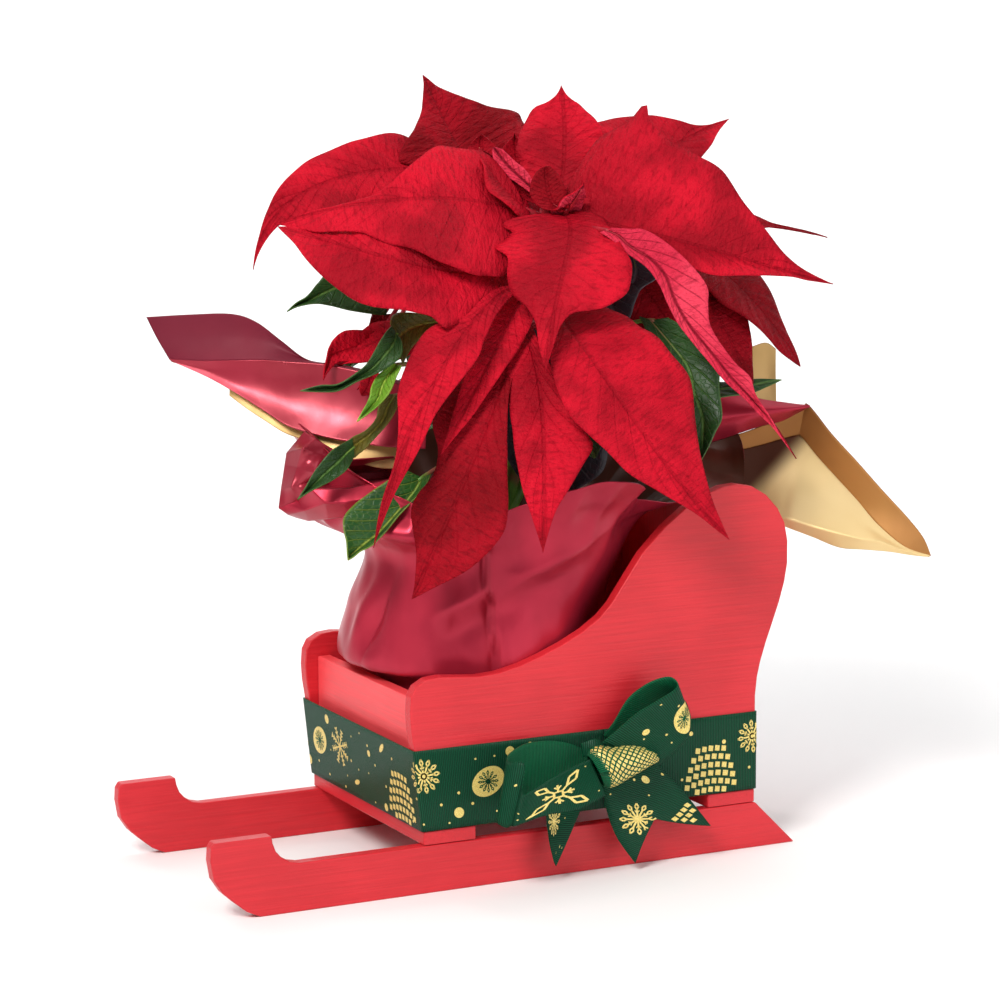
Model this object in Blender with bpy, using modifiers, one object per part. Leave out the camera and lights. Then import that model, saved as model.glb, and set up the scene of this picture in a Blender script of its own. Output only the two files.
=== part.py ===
# Potted poinsettia in a film wrap, standing in a painted wooden gift sleigh.
# Metres, +Z up. The sleigh runs along X with its curled front at -X and its tall back at +X.
# The side with the bow faces -Y.
import math

import bmesh
import bpy
import numpy as np
from mathutils import Matrix

MM = 0.001

# Driving sizes in millimetres. The ribbon is the scale: a standard 38 mm ribbon.
RIBBON_WIDE = 38.0
BOARD = 6.5
WIDTH = 128.6
RUNNER_HIGH = 22.4
RUNNER_REAR_FOOT = 300.7
RUNNER_REAR_TOP = 278.3
CURL_HIGH = 36.4
SLAT_FRONT = (102.0, 128.5)
SLAT_REAR = (252.0, 278.0)
BOX_FRONT = 102.3
BOX_REAR = 278.0
FRONT_LEAN = 0.105
FRONT_BOARD_HIGH = 60.0
BACK_SHOULDER = 148.0
BACK_ARCH = 16.0
GAP = 0.3
BOX_LOW = RUNNER_HIGH + BOARD + GAP
FLOOR_TOP = BOX_LOW + BOARD

RIBBON_THICK = 0.8
RIBBON_BASE = 29.4

FILM_THICK = 0.8
FILM_FOOT = FLOOR_TOP + GAP + FILM_THICK / 2

POT_X = 166.0
POT_Y = WIDTH / 2
POT_TOP_R = 52.0
POT_FOOT_R = 40.0
POT_HIGH = 114.0
POT_WALL = 1.4
POT_RIM_HIGH = 8.0
POT_RIM_OUT = 2.2
POT_SIDES = 32
SOIL_DROP = 12.0
SOIL_SIDES = 24

BLADE_THICK = 0.8
STEM_SIDES = 8


def clear_scene():
    for thing in list(bpy.data.objects):
        bpy.data.objects.remove(thing, do_unlink=True)


def new_collection(name, hidden=False):
    made = bpy.data.collections.new(name)
    bpy.context.scene.collection.children.link(made)
    made.hide_render = hidden
    return made


def material(name, colour, rough=0.6, coat=0.0, metallic=0.0):
    made = bpy.data.materials.new(name)
    made.use_nodes = True
    shader = made.node_tree.nodes["Principled BSDF"]
    shader.inputs["Base Color"].default_value = (*colour, 1.0)
    shader.inputs["Roughness"].default_value = rough
    shader.inputs["Coat Weight"].default_value = coat
    shader.inputs["Metallic"].default_value = metallic
    made.diffuse_color = (*colour, 1.0)
    return made


def add_mesh(name, points, faces, paint, home, smooth=False):
    """Makes an object from points in millimetres."""
    mesh = bpy.data.meshes.new(name)
    mesh.from_pydata([tuple(c * MM for c in p) for p in points], [], faces)
    mesh.validate()
    mesh.materials.append(paint)
    thing = bpy.data.objects.new(name, mesh)
    home.objects.link(thing)
    if smooth:
        mesh.polygons.foreach_set("use_smooth", [True] * len(mesh.polygons))
    return thing


def apply_modifiers(thing):
    """Writes the modifiers into the mesh, so that later steps see the finished shape."""
    bpy.context.view_layer.update()
    graph = bpy.context.evaluated_depsgraph_get()
    mesh = bpy.data.meshes.new_from_object(thing.evaluated_get(graph))
    thing.modifiers.clear()
    thing.data = mesh


def outline_board(name, outline, thick, paint, home, plane="xz", at=0.0):
    """A flat board: a filled 2D curve, extruded, laid in the XZ or the YZ plane."""
    curve = bpy.data.curves.new(name, "CURVE")
    curve.dimensions = "2D"
    curve.fill_mode = "BOTH"
    curve.extrude = thick / 2 * MM
    line = curve.splines.new("POLY")
    line.points.add(len(outline) - 1)
    for point, (a, b) in zip(line.points, outline):
        point.co = (a * MM, b * MM, 0.0, 1.0)
    line.use_cyclic_u = True
    holder = bpy.data.objects.new(name + "_curve", curve)
    home.objects.link(holder)
    bpy.context.view_layer.update()
    graph = bpy.context.evaluated_depsgraph_get()
    mesh = bpy.data.meshes.new_from_object(holder.evaluated_get(graph))
    bpy.data.objects.remove(holder, do_unlink=True)
    middle = (at + thick / 2) * MM
    shape = bmesh.new()
    shape.from_mesh(mesh)
    for vert in shape.verts:
        a, b, c = vert.co
        if plane == "xz":
            vert.co = (a, middle - c, b)
        else:
            vert.co = (middle + c, a, b)
    bmesh.ops.remove_doubles(shape, verts=shape.verts, dist=1e-6)
    bmesh.ops.recalc_face_normals(shape, faces=shape.faces)
    shape.to_mesh(mesh)
    shape.free()
    mesh.name = name
    mesh.materials.clear()
    mesh.materials.append(paint)
    thing = bpy.data.objects.new(name, mesh)
    home.objects.link(thing)
    return thing


def add_shape(name, shape, paint, home, smooth=False):
    """Makes an object from a bmesh in metres, all its faces turned outwards."""
    bmesh.ops.recalc_face_normals(shape, faces=shape.faces)
    mesh = bpy.data.meshes.new(name)
    shape.to_mesh(mesh)
    shape.free()
    mesh.materials.append(paint)
    thing = bpy.data.objects.new(name, mesh)
    home.objects.link(thing)
    mesh.polygons.foreach_set("use_smooth", [smooth] * len(mesh.polygons))
    return thing


def block(name, low, high, paint, home):
    shape = bmesh.new()
    bmesh.ops.create_cube(shape, size=1.0)
    for vert in shape.verts:
        vert.co = [(a + b + 2 * c * (b - a)) / 2 * MM for a, b, c in zip(low, high, vert.co)]
    return add_shape(name, shape, paint, home)


def ball(name, centre, sizes, paint, home, rings=8, around=12):
    """A ball or an egg: a sphere with its three half sizes given."""
    shape = bmesh.new()
    bmesh.ops.create_uvsphere(shape, u_segments=around, v_segments=rings, radius=1.0)
    for vert in shape.verts:
        vert.co = [(a + b * c) * MM for a, b, c in zip(centre, sizes, vert.co)]
    return add_shape(name, shape, paint, home, smooth=True)


def stem(name, points, radii, paint, home):
    """A round stem: a bevelled curve through points, its thickness set at each of them."""
    curve = bpy.data.curves.new(name, "CURVE")
    curve.dimensions = "3D"
    curve.bevel_depth = MM
    curve.bevel_resolution = (STEM_SIDES - 4) // 2
    curve.use_fill_caps = True
    line = curve.splines.new("POLY")
    line.points.add(len(points) - 1)
    for point, place, radius in zip(line.points, points, radii):
        point.co = (*(c * MM for c in place), 1.0)
        point.radius = radius
    holder = bpy.data.objects.new(name + "_curve", curve)
    home.objects.link(holder)
    bpy.context.view_layer.update()
    graph = bpy.context.evaluated_depsgraph_get()
    mesh = bpy.data.meshes.new_from_object(holder.evaluated_get(graph))
    bpy.data.objects.remove(holder, do_unlink=True)
    shape = bmesh.new()
    shape.from_mesh(mesh)
    bpy.data.meshes.remove(mesh)
    bmesh.ops.remove_doubles(shape, verts=shape.verts, dist=1e-6)
    return add_shape(name, shape, paint, home, smooth=True)


# Sleigh

def runner_outline():
    """The front end curls up into a short flat-topped hook; the rear end is cut on the slant."""
    outer = [(27.2, CURL_HIGH), (0.0, CURL_HIGH), (-1.6, 34.0), (-2.0, 28.0), (-0.6, 19.5),
             (3.6, 13.0), (9.0, 8.0), (15.0, 3.0), (21.4, 0.0)]
    rear = [(RUNNER_REAR_FOOT, 0.0), (RUNNER_REAR_TOP, RUNNER_HIGH)]
    inner = [(40.5, RUNNER_HIGH), (36.0, 23.4), (32.0, 25.9), (29.3, 29.0), (27.8, 33.0)]
    return outer + rear + inner


def side_outline():
    """The side panel: low in front with a small rounded horn, then an S up to the tall back."""
    front = [(BOX_FRONT, BOX_LOW), (100.2, 45.0), (97.5, 68.8), (96.2, 77.0), (95.7, 85.0),
             (96.3, 92.4), (98.8, 97.0), (104.1, 99.9), (111.5, 100.6)]
    rise = [(120.0, 99.8), (130.7, 98.9), (141.5, 99.6), (152.3, 102.0), (163.2, 105.6),
            (174.2, 109.9), (185.2, 115.2), (194.0, 121.0), (200.0, 127.0), (206.5, 136.0),
            (216.0, 149.0), (228.0, 160.6), (239.4, 169.0), (251.0, 175.0)]
    back = [(259.0, 177.6), (267.5, 178.2), (275.5, 176.7), (283.5, 172.0), (290.0, 165.0),
            (293.8, 158.0), (295.6, 149.0), (295.6, 138.0), (294.0, 129.0), (291.2, 119.6),
            (287.6, 110.0), (284.0, 100.6), (281.0, 91.6), (279.2, 84.0), (278.2, 75.0),
            (BOX_REAR, BOX_LOW)]
    return front + rise + back


def back_outline():
    """The hidden back board, with an arched top between the two side panels."""
    near, far = BOARD + GAP, WIDTH - BOARD - GAP
    middle, half = (near + far) / 2, (far - near) / 2
    arch = []
    for step in range(13):
        turn = math.pi * step / 12
        arch.append((middle + half * math.cos(turn), BACK_SHOULDER + BACK_ARCH * math.sin(turn)))
    return [(near, BOX_LOW), (far, BOX_LOW)] + arch


def build_sleigh(paint, pale, home):
    for name, at in (("runner_near", 0.0), ("runner_far", WIDTH - BOARD)):
        outline_board(name, runner_outline(), BOARD, paint, home, at=at)
    for name, (a, b) in (("slat_front", SLAT_FRONT), ("slat_rear", SLAT_REAR)):
        block(name, (a, 0.0, RUNNER_HIGH + GAP), (b, WIDTH, RUNNER_HIGH + BOARD), paint, home)
    outline_board("side_near", side_outline(), BOARD, paint, home, at=0.0)
    outline_board("side_far", side_outline(), BOARD, paint, home, at=WIDTH - BOARD)
    near, far = BOARD + GAP, WIDTH - BOARD - GAP
    block("front_board", (BOX_FRONT, near, BOX_LOW),
          (BOX_FRONT + BOARD, far, BOX_LOW + FRONT_BOARD_HIGH), pale, home)
    outline_board("back_board", back_outline(), BOARD, paint, home, plane="yz",
                  at=BOX_REAR - BOARD)
    block("floor_board", (BOX_FRONT + BOARD + GAP, near, BOX_LOW),
          (BOX_REAR - BOARD - GAP, far, FLOOR_TOP), paint, home)


# Ribbon

def build_band(paint, home):
    """The band round the box leans out with the front edge of the panels; it is one closed ring."""
    points = []
    levels = (RIBBON_BASE, RIBBON_BASE + RIBBON_WIDE / 2, RIBBON_BASE + RIBBON_WIDE)
    out = GAP + RIBBON_THICK / 2
    for level in levels:
        front = BOX_FRONT - (level - RUNNER_HIGH) * FRONT_LEAN - out
        rear = BOX_REAR + GAP + out
        near, far = -out, WIDTH + out
        points += [(front, near, level), (rear, near, level), (rear, far, level),
                   (front, far, level)]
    faces = []
    for row in (0, 4):
        for side in range(4):
            nxt = (side + 1) % 4
            faces.append((row + side, row + nxt, row + nxt + 4, row + side + 4))
    band = add_mesh("ribbon_band", points, faces, paint, home)
    thicken(band, RIBBON_THICK)


def tidy_shell(thing):
    """Turns every face outwards."""
    shape = bmesh.new()
    shape.from_mesh(thing.data)
    bmesh.ops.recalc_face_normals(shape, faces=shape.faces)
    shape.to_mesh(thing.data)
    shape.free()
    return thing


def strip(name, rows, thick, paint, home, smooth=True):
    """A sheet through rows of points, thickened evenly; both faces get the same triangles."""
    wide = len(rows[0])
    points = [p for row in rows for p in row]
    faces = []
    for i in range(len(rows) - 1):
        for j in range(wide - 1):
            a, b = i * wide + j, i * wide + j + 1
            c, d = a + wide, b + wide
            faces += [(a, b, d), (a, d, c)]
    thing = add_mesh(name, points, faces, paint, home, smooth)
    return thicken(thing, thick)


def thicken(thing, thick):
    """Gives an open surface its thickness, half to each side."""
    solid = thing.modifiers.new("thick", "SOLIDIFY")
    solid.thickness = thick * MM
    solid.offset = 0.0
    solid.use_even_offset = True
    apply_modifiers(thing)
    return tidy_shell(thing)


# The bow, as rows of (x, how far in front of the side panel, height) across each ribbon.
LOOP_LEFT = (
    ((184, 0.4, 48), (184, 0.4, 60)), ((164, 0.4, 46), (165, 1.0, 67)), ((150, 2, 42), (150, 3, 68)),
    ((138, 8, 36), (139, 8, 61)), ((132, 14, 33), (135, 12, 59)), ((136, 20, 31), (139, 18, 55)),
    ((148, 22, 31), (148, 20, 45)), ((160, 21, 33), (161, 16, 50)), ((180, 15.4, 44), (180, 12.8, 57)),
)
LOOP_RIGHT = (
    ((196, 8, 69), (215, 8, 55)), ((199, 14, 78), (221, 16, 58)), ((205, 18, 86), (227, 20, 63)),
    ((214, 19, 91), (231, 21, 70)), ((222, 14, 92), (233, 16, 71)), ((221, 8, 88), (231, 10, 66)),
    ((210, 2, 80), (222, 2, 60)), ((197, 0.4, 68), (209, 0.4, 54)),
)
TAIL_RIGHT = (
    ((190, 6.6, 50), (201, 7.0, 49), (213, 6.6, 49)), ((194, 10, 27), (212, 10, 33), (231, 10, 37)),
    ((206, 11, 5), (216, 11, 24), (247, 11, 17)),
)
TAIL_LEFT = (
    ((170, 1.5, 52), (176, 1.5, 51), (182, 1.5, 50)), ((159, 9, 30), (167, 9, 30), (176, 9, 31)),
    ((162, 10, 8), (163.5, 10, 7.5), (165, 10, 9)),
)
KNOT = ((195.0, 13.5, 55.0), (14.5, 6.6, 9.6))


def build_bow(paint, home):
    """Two loops, two tails and a knot, laid against the near side of the band."""
    face = -GAP - RIBBON_THICK - GAP
    for name, rows in (("bow_loop_left", LOOP_LEFT), ("bow_loop_right", LOOP_RIGHT),
                       ("bow_tail_left", TAIL_LEFT), ("bow_tail_right", TAIL_RIGHT)):
        placed = []
        for row in rows:
            spots = [np.array([x, face - out, z]) for x, out, z in row]
            if len(spots) == 2:
                spots.insert(1, (spots[0] + spots[1]) / 2)
            placed.append(spots)
        strip(name, placed, RIBBON_THICK, paint, home)
    (x, out, z), sizes = KNOT
    ball("bow_knot", (x, face - out, z), sizes, paint, home)


# Pot, soil and film

def turned(name, profile, sides, paint, home):
    """A round piece from a closed profile of (reach, level), its axis on the pot's."""
    mesh = bpy.data.meshes.new(name)
    edges = [(i, (i + 1) % len(profile)) for i in range(len(profile))]
    mesh.from_pydata([(reach * MM, 0.0, level * MM) for reach, level in profile], edges, [])
    mesh.materials.append(paint)
    thing = bpy.data.objects.new(name, mesh)
    home.objects.link(thing)
    screw = thing.modifiers.new("turn", "SCREW")
    screw.steps = sides
    screw.render_steps = sides
    screw.use_merge_vertices = True
    screw.merge_threshold = 0.00005
    screw.use_normal_calculate = True
    apply_modifiers(thing)
    thing.data.transform(Matrix.Translation((POT_X * MM, POT_Y * MM, 0.0)))
    tidy_shell(thing)
    thing.data.polygons.foreach_set("use_smooth", [True] * len(thing.data.polygons))
    return thing


def build_pot(pot_paint, soil_paint, home):
    """A thin tapered pot with a stepped rim, and its soil with a plain hole for the stem."""
    foot = FILM_FOOT + FILM_THICK / 2 + GAP
    rim = foot + POT_HIGH
    neck = rim - POT_RIM_HIGH
    inner_low = (POT_FOOT_R - POT_WALL, foot + POT_WALL)
    inner_neck = (POT_TOP_R - POT_RIM_OUT - POT_WALL, neck - 1.0)
    outer = [(0.0, foot), (POT_FOOT_R, foot), (POT_TOP_R - POT_RIM_OUT, neck), (POT_TOP_R, neck),
             (POT_TOP_R, rim), (POT_TOP_R - POT_WALL, rim)]
    turned("pot", outer + [inner_neck, inner_low, (0.0, foot + POT_WALL)], POT_SIDES,
           pot_paint, home)
    soil_low = foot + POT_WALL + GAP
    soil_high = rim - SOIL_DROP
    reaches = []
    for level in (soil_low, soil_high):
        wall = np.interp(level, (inner_low[1], inner_neck[1]), (inner_low[0], inner_neck[0]))
        reaches.append(float(wall) * math.cos(math.pi / POT_SIDES) - GAP)
    low_r, high_r = reaches
    soil = [(0.0, soil_low), (low_r, soil_low), (high_r, soil_high),
            (high_r * 0.7, soil_high + 1.5), (high_r * 0.35, soil_high + 0.6),
            (0.0, soil_high + 1.0)]
    body = turned("soil", soil, SOIL_SIDES, soil_paint, home)
    cut_stem_hole(body, soil_high + 6.0, soil_paint)


def cut_stem_hole(body, top, paint):
    """The main stem stands in the soil in a hole that is a little wider than it."""
    x, y, foot = STEMS["main"][0]
    cutters = new_collection("cutters", hidden=True)
    wide = STEM_RADII[0] / math.cos(math.pi / STEM_SIDES) + GAP
    cutter = stem("soil_hole", [(x, y, foot - GAP), (x, y, top)], (wide, wide), paint, cutters)
    cutter.display_type = "WIRE"
    cutter.hide_render = True
    cut = body.modifiers.new("hole", "BOOLEAN")
    cut.operation = "DIFFERENCE"
    cut.solver = "EXACT"
    cut.object = cutter
    apply_modifiers(body)
    bpy.data.objects.remove(cutter, do_unlink=True)
    bpy.data.collections.remove(cutters)


# Each column of the flare: its angle, shoulder reach and height, collar reach and height, then
# where the sheet's free edge is: angle, reach and height. Angles are in degrees from +X.
FLARE = (
    (128, 78, 174, 84, 190, 132, 92, 203), (143, 84, 174, 88, 192, 148, 95, 205),
    (152, 89, 172, 90, 196, 150, 120, 220), (159, 95, 170, 92, 200, 151, 150, 237),
    (166, 99, 168, 93, 204, 153, 160, 258), (172, 102, 168, 93, 210, 157, 124, 261),
    (179, 103, 167, 92, 214, 165, 110, 257), (187, 100, 166, 90, 210, 174, 92, 240),
    (198, 92, 165, 84, 196, 186, 79, 222), (212, 79, 161, 75, 173, 208, 72, 181),
    (233, 66, 160, 69, 167, 232, 70, 173), (258, 66, 163, 70, 171, 256, 73, 177),
    (280, 70, 167, 78, 177, 282, 86, 187), (297, 74, 166, 82, 175, 298, 90, 183),
    (312, 68, 160, 72, 166, 313, 77, 173), (325, 76, 164, 86, 167, 326, 98, 170),
    (335, 88, 170, 105, 169, 334, 124, 166), (343, 96, 175, 120, 170, 337, 152, 155),
    (348, 98, 178, 140, 172, 338, 188, 144), (352, 100, 182, 150, 182, 339, 217, 139),
    (356, 102, 185, 152, 190, 342, 211, 152), (360, 104, 188, 152, 196, 346, 202, 168),
    (364, 106, 191, 146, 202, 350, 188, 187), (368, 106, 194, 138, 206, 354, 171, 208),
    (373, 104, 196, 128, 208, 356, 148, 213), (380, 102, 196, 114, 208, 359, 126, 216),
    (389, 102, 195, 124, 216, 362, 156, 236), (398, 98, 190, 118, 212, 368, 146, 236),
    (412, 88, 182, 100, 200, 400, 118, 222), (434, 80, 176, 90, 192, 432, 102, 208),
    (462, 76, 172, 88, 188, 462, 100, 204),
)
# The heights of the film's rings below the flare, and how far it stands off the pot's axis at
# them. It bulges out over the low front board and, higher up, over the near side panel.
FILM_LEVELS = (FILM_FOOT, 60.0, 90.0, 97.0, 122.0, 150.0)
FILM_REACHES = (43.0, 50.0, 55.4, 56.2, 56.5, 57.0)
FRONT_BULGE = (0.0, 0.0, 0.0, 15.0, 10.0, 2.0)
NEAR_BULGE = (0.0, 0.0, 0.0, 0.0, 0.0, 10.0)
FRONT_TURN = 158.0
NEAR_TURN = -50.0
PANEL_TOP = 115.0


def lobe(angle, centre):
    """One on the given side of the pot, falling softly to nothing a quarter turn away."""
    return max(0.0, math.cos(math.radians(angle - centre))) ** 2


def body_reach(angle, level):
    """How far the film stands off the pot's axis; between the side panels it is held in."""
    reach = (np.interp(level, FILM_LEVELS, FILM_REACHES)
             + lobe(angle, FRONT_TURN) * np.interp(level, FILM_LEVELS, FRONT_BULGE)
             + lobe(angle, NEAR_TURN) * np.interp(level, FILM_LEVELS, NEAR_BULGE))
    across = max(abs(math.sin(math.radians(angle))), 0.1)
    room = (POT_Y - BOARD - 4 * GAP) / across
    return min(float(reach), room) if level < PANEL_TOP else float(reach)


def polar(angle, reach, level):
    turn = math.radians(angle)
    return np.array([POT_X + reach * math.cos(turn), POT_Y + reach * math.sin(turn), level])


def film_column(row):
    """One column of the sheet, from its foot under the pot up to its free edge."""
    angle, shoulder_reach, shoulder_level, collar_reach, collar_level, edge_angle = row[:6]
    column = [polar(angle, body_reach(angle, level), level) for level in FILM_LEVELS]
    shoulder = polar(angle, shoulder_reach, shoulder_level)
    collar = polar(angle + 0.4 * (edge_angle - angle), collar_reach, collar_level)
    edge = polar(*row[5:])
    middle = (collar + edge) / 2 + (collar - shoulder) * 0.08
    column += [shoulder, collar, middle, edge]
    return column


def build_film(paint, home):
    """The wrap: one open cup from under the pot up to its flared edge, then thickened."""
    columns = [film_column(row) for row in FLARE]
    high = len(columns[0])
    points = [p for column in columns for p in column]
    points.append(np.array([POT_X, POT_Y, FILM_FOOT]))
    pole = len(points) - 1
    faces = []
    for i in range(len(columns)):
        nxt = (i + 1) % len(columns)
        faces.append((pole, i * high, nxt * high)[::-1])
        for j in range(high - 1):
            a, b = i * high + j, nxt * high + j
            faces += [(a, b, b + 1), (a, b + 1, a + 1)]
    film = add_mesh("film_wrap", points, faces, paint, home, smooth=True)
    solid = film.modifiers.new("thick", "SOLIDIFY")
    solid.thickness = FILM_THICK * MM
    solid.offset = 0.0
    apply_modifiers(film)
    tidy_shell(film)


# Leaves. Their rings stand at these shares of a blade's length; small leaves get fewer.
STATIONS = (0.05, 0.14, 0.27, 0.42, 0.58, 0.74, 0.88)
SMALL_STATIONS = (0.06, 0.22, 0.45, 0.7, 0.88)
SMALL_WIDTH = 24
ACROSS = (-1.0, -0.5, 0.0, 0.5, 1.0)


def leaf(at, heading, reach, rise, bow, side, width, stalk, roll, **more):
    """The values of one leaf or bract, in millimetres and degrees.

    At is its place on the stem. Its tip lies reach out towards heading and rise above the place;
    bow lifts and side shifts the middle of its midrib. Stalk is the share of the midrib that is
    bare, and roll turns the blade about it. Widest is the share where the blade is widest.
    """
    values = {"at": at, "heading": heading, "reach": reach, "rise": rise, "bow": bow,
              "side": side, "width": width, "stalk": stalk, "roll": roll, "twist": 0,
              "fold": 8, "widest": 0.4, "near": 1.0, "wave": 0.0, "teeth": (), "thick": 1.3}
    values.update(more)
    return values


def half_width(share, width, widest):
    """Half the width of an oval, pointed blade at a share of its length."""
    root_power = 0.75
    tip_power = root_power * (1 - widest) / widest
    full = widest ** root_power * (1 - widest) ** tip_power
    return 0.5 * width * share ** root_power * (1 - share) ** tip_power / full


def rib_point(root, values, share):
    """A point of the midrib, and the direction it runs in; the share counts the stalk too."""
    turn = math.radians(values["heading"])
    out = np.array([math.cos(turn), math.sin(turn), 0.0])
    left = np.array([-math.sin(turn), math.cos(turn), 0.0])
    tip = out * values["reach"] + np.array([0.0, 0.0, values["rise"]])
    bulge = left * values["side"] + np.array([0.0, 0.0, values["bow"]])
    point = np.array(root) + tip * share + bulge * 4 * share * (1 - share)
    along = tip + bulge * 4 * (1 - 2 * share)
    return point, along / np.linalg.norm(along), left


def blade_frame(root, values, share):
    """The midrib point at a share of the blade, with the across and up directions there."""
    whole = values["stalk"] + (1 - values["stalk"]) * share
    point, along, left = rib_point(root, values, whole)
    left = left - along * float(left @ along)
    left = left / np.linalg.norm(left)
    above = np.cross(along, left)
    turn = math.radians(values["roll"] + values["twist"] * share)
    across = left * math.cos(turn) + above * math.sin(turn)
    return point, across, above * math.cos(turn) - left * math.sin(turn)


def blade_point(root, values, share, side):
    """A point of the blade's middle surface; side runs from -1 to 1 across it."""
    point, across, up = blade_frame(root, values, share)
    half = half_width(share, values["width"], values["widest"])
    if side < 0:
        half *= values["near"]
    for tooth_side, tooth_at, tooth_out in values["teeth"]:
        if tooth_side * side > 0:
            half += tooth_out * max(0.0, 1 - abs(share - tooth_at) / 0.1)
    out = abs(side) * half
    lift = math.radians(values["fold"])
    phase = math.tau * (2 * share + 0.27 * (side > 0))
    wave = values["wave"] * side * side * math.sin(phase)
    spot = point + across * math.copysign(out * math.cos(lift), side)
    return spot + up * (out * math.sin(lift) + wave), up


def leaf_body(root, values):
    """One closed leaf: a round stalk that flattens into a thin blade and ends in a point."""
    rings = []
    thick = values["thick"]
    start, across, up = blade_frame(root, values, 0.0)
    for centre in (np.array(root), (np.array(root) + 2 * start) / 3):
        ring = []
        for sign, order in ((1, ACROSS), (-1, ACROSS[::-1])):
            for side in order:
                high = math.sqrt(1 - (side * 0.9) ** 2)
                ring.append(centre + across * side * thick + up * sign * thick * high)
        rings.append(ring)
    for share in SMALL_STATIONS if values["width"] <= SMALL_WIDTH else STATIONS:
        ring = []
        for sign, order in ((1, ACROSS), (-1, ACROSS[::-1])):
            for side in order:
                point, lift = blade_point(root, values, share, side)
                rib = 0.5 if side == 0 and share < 0.7 else 0.0
                ring.append(point + lift * sign * (BLADE_THICK / 2 + rib))
        rings.append(ring)
    around = len(rings[0])
    points = [p for ring in rings for p in ring] + [rib_point(root, values, 1.0)[0]]
    tip = len(points) - 1
    faces = [tuple(range(around))]
    for r in range(len(rings) - 1):
        for i in range(around):
            nxt = (i + 1) % around
            a, b = r * around + i, r * around + nxt
            c, d = a + around, b + around
            if i < around // 2:
                faces += [(a, c, d), (a, d, b)]
            else:
                faces += [(a, c, b), (b, c, d)]
    last = (len(rings) - 1) * around
    for i in range(around):
        faces.append((last + i, tip, last + (i + 1) % around))
    return points, faces


# Each bloom: the top of its stem, then its bracts, then how far its red stem reaches down.
MAIN_TOP = (190.0, 46.0, 312.0)
MAIN_BRACTS = (
    leaf(9, 54, 46, 62, -10, -3, 38, 0.25, 0, widest=0.5),
    leaf(4, -30, 134, -35, 5, -18, 92, 0.04, 52, fold=26, near=0.6, widest=0.32,
         teeth=((1, 0.22, 12),)),
    leaf(6, 10, 112, 42, 0, 3, 52, 0.12, 45, widest=0.35),
    leaf(8, 171, 130, 0, 11, 13, 58, 0.10, -55, widest=0.35, wave=1.5),
    leaf(8, -118, 66, -65, 21, 11, 64, 0.12, 0, widest=0.36, teeth=((-1, 0.25, 4),)),
    leaf(16, -53, 124, -93, 36, -21, 24, 0.30, -117, widest=0.35),
    leaf(28, 172, 122, 14, -6, 26, 58, 0.10, -55, wave=1.5, teeth=((1, 0.22, 6),)),
    leaf(50, -157, 122, -99, 47, 12, 32, 0.15, -40, widest=0.35),
    leaf(54, -64, 103, -97, 33, -28, 54, 0.06, 30, widest=0.47),
    leaf(56, -119, 78, -98, 43, 3, 36, 0.08, 0, widest=0.5),
    leaf(58, -157, 97, -118, 35, 18, 44, 0.10, -27, widest=0.5),
    leaf(54, 168, 92, -32, 18, 0, 20, 0.30, -30),
    leaf(60, 160, 108, -18, 11, 0, 22, 0.50, -40),
    leaf(8, 152, 32, 33, -6, 10, 30, 0.25, -20),
    leaf(10, 100, 34, 30, -6, 0, 20, 0.25, 0),
    leaf(10, 20, 38, 26, -4, 0, 20, 0.25, 20),
    leaf(9, -80, 28, 18, -4, 0, 16, 0.28, 0),
    leaf(20, -153, 83, -91, 10, 7, 20, 0.20, -20),
)
REAR_TOP = (185.0, 105.0, 325.0)
REAR_BRACTS = (
    leaf(9, 121, 34, 54, -8, -5, 70, 0.22, -20, fold=12, widest=0.35, teeth=((1, 0.3, 5),)),
    leaf(6, 176, 117, -39, 20, -3, 40, 0.12, -55, widest=0.45),
    leaf(8, 75, 92, -30, 20, 0, 56, 0.12, 0),
    leaf(12, 120, 96, -48, 22, 0, 52, 0.12, -15),
    leaf(14, 28, 84, -42, 20, 0, 48, 0.14, 15),
)
RIGHT_TOP = (254.0, 71.0, 310.0)
RIGHT_BRACTS = (
    leaf(16, -27, 91, -3, 6, 0, 34, 0.15, 30),
    leaf(24, -41, 79, -56, 19, -7, 42, 0.15, 20, widest=0.45),
    leaf(30, -64, 65, -58, 25, -6, 42, 0.15, 10, widest=0.5),
    leaf(10, 35, 80, -38, 20, 0, 48, 0.12, 0),
    leaf(20, 88, 76, -60, 22, 0, 46, 0.14, -10),
    leaf(28, 14, 48, -44, 16, 0, 36, 0.16, 20),
)
BLOOMS = (("main", MAIN_TOP, MAIN_BRACTS, 62.0), ("rear", REAR_TOP, REAR_BRACTS, 22.0),
          ("right", RIGHT_TOP, RIGHT_BRACTS, 42.0))
BLOOM_STEM_RADII = (3.4, 3.2, 3.6)


def leaf_piece(name, root, values, paint, home):
    return tidy_shell(add_mesh(name, *leaf_body(root, values), paint, home))


def fuse(name, pieces, paint, home):
    """Joins closed pieces into one body with one exact union, and drops the helpers."""
    body = pieces[0]
    body.name = name
    helpers = new_collection(name + "_pieces", hidden=True)
    for piece in pieces[1:]:
        home.objects.unlink(piece)
        helpers.objects.link(piece)
        piece.display_type = "WIRE"
        piece.hide_render = True
    union = body.modifiers.new("union", "BOOLEAN")
    union.operation = "UNION"
    union.solver = "EXACT"
    union.operand_type = "COLLECTION"
    union.collection = helpers
    apply_modifiers(body)
    for piece in list(helpers.objects):
        bpy.data.objects.remove(piece, do_unlink=True)
    bpy.data.collections.remove(helpers)
    body.data.materials.clear()
    body.data.materials.append(paint)
    body.data.polygons.foreach_set("use_smooth", [True] * len(body.data.polygons))
    return body


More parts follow.
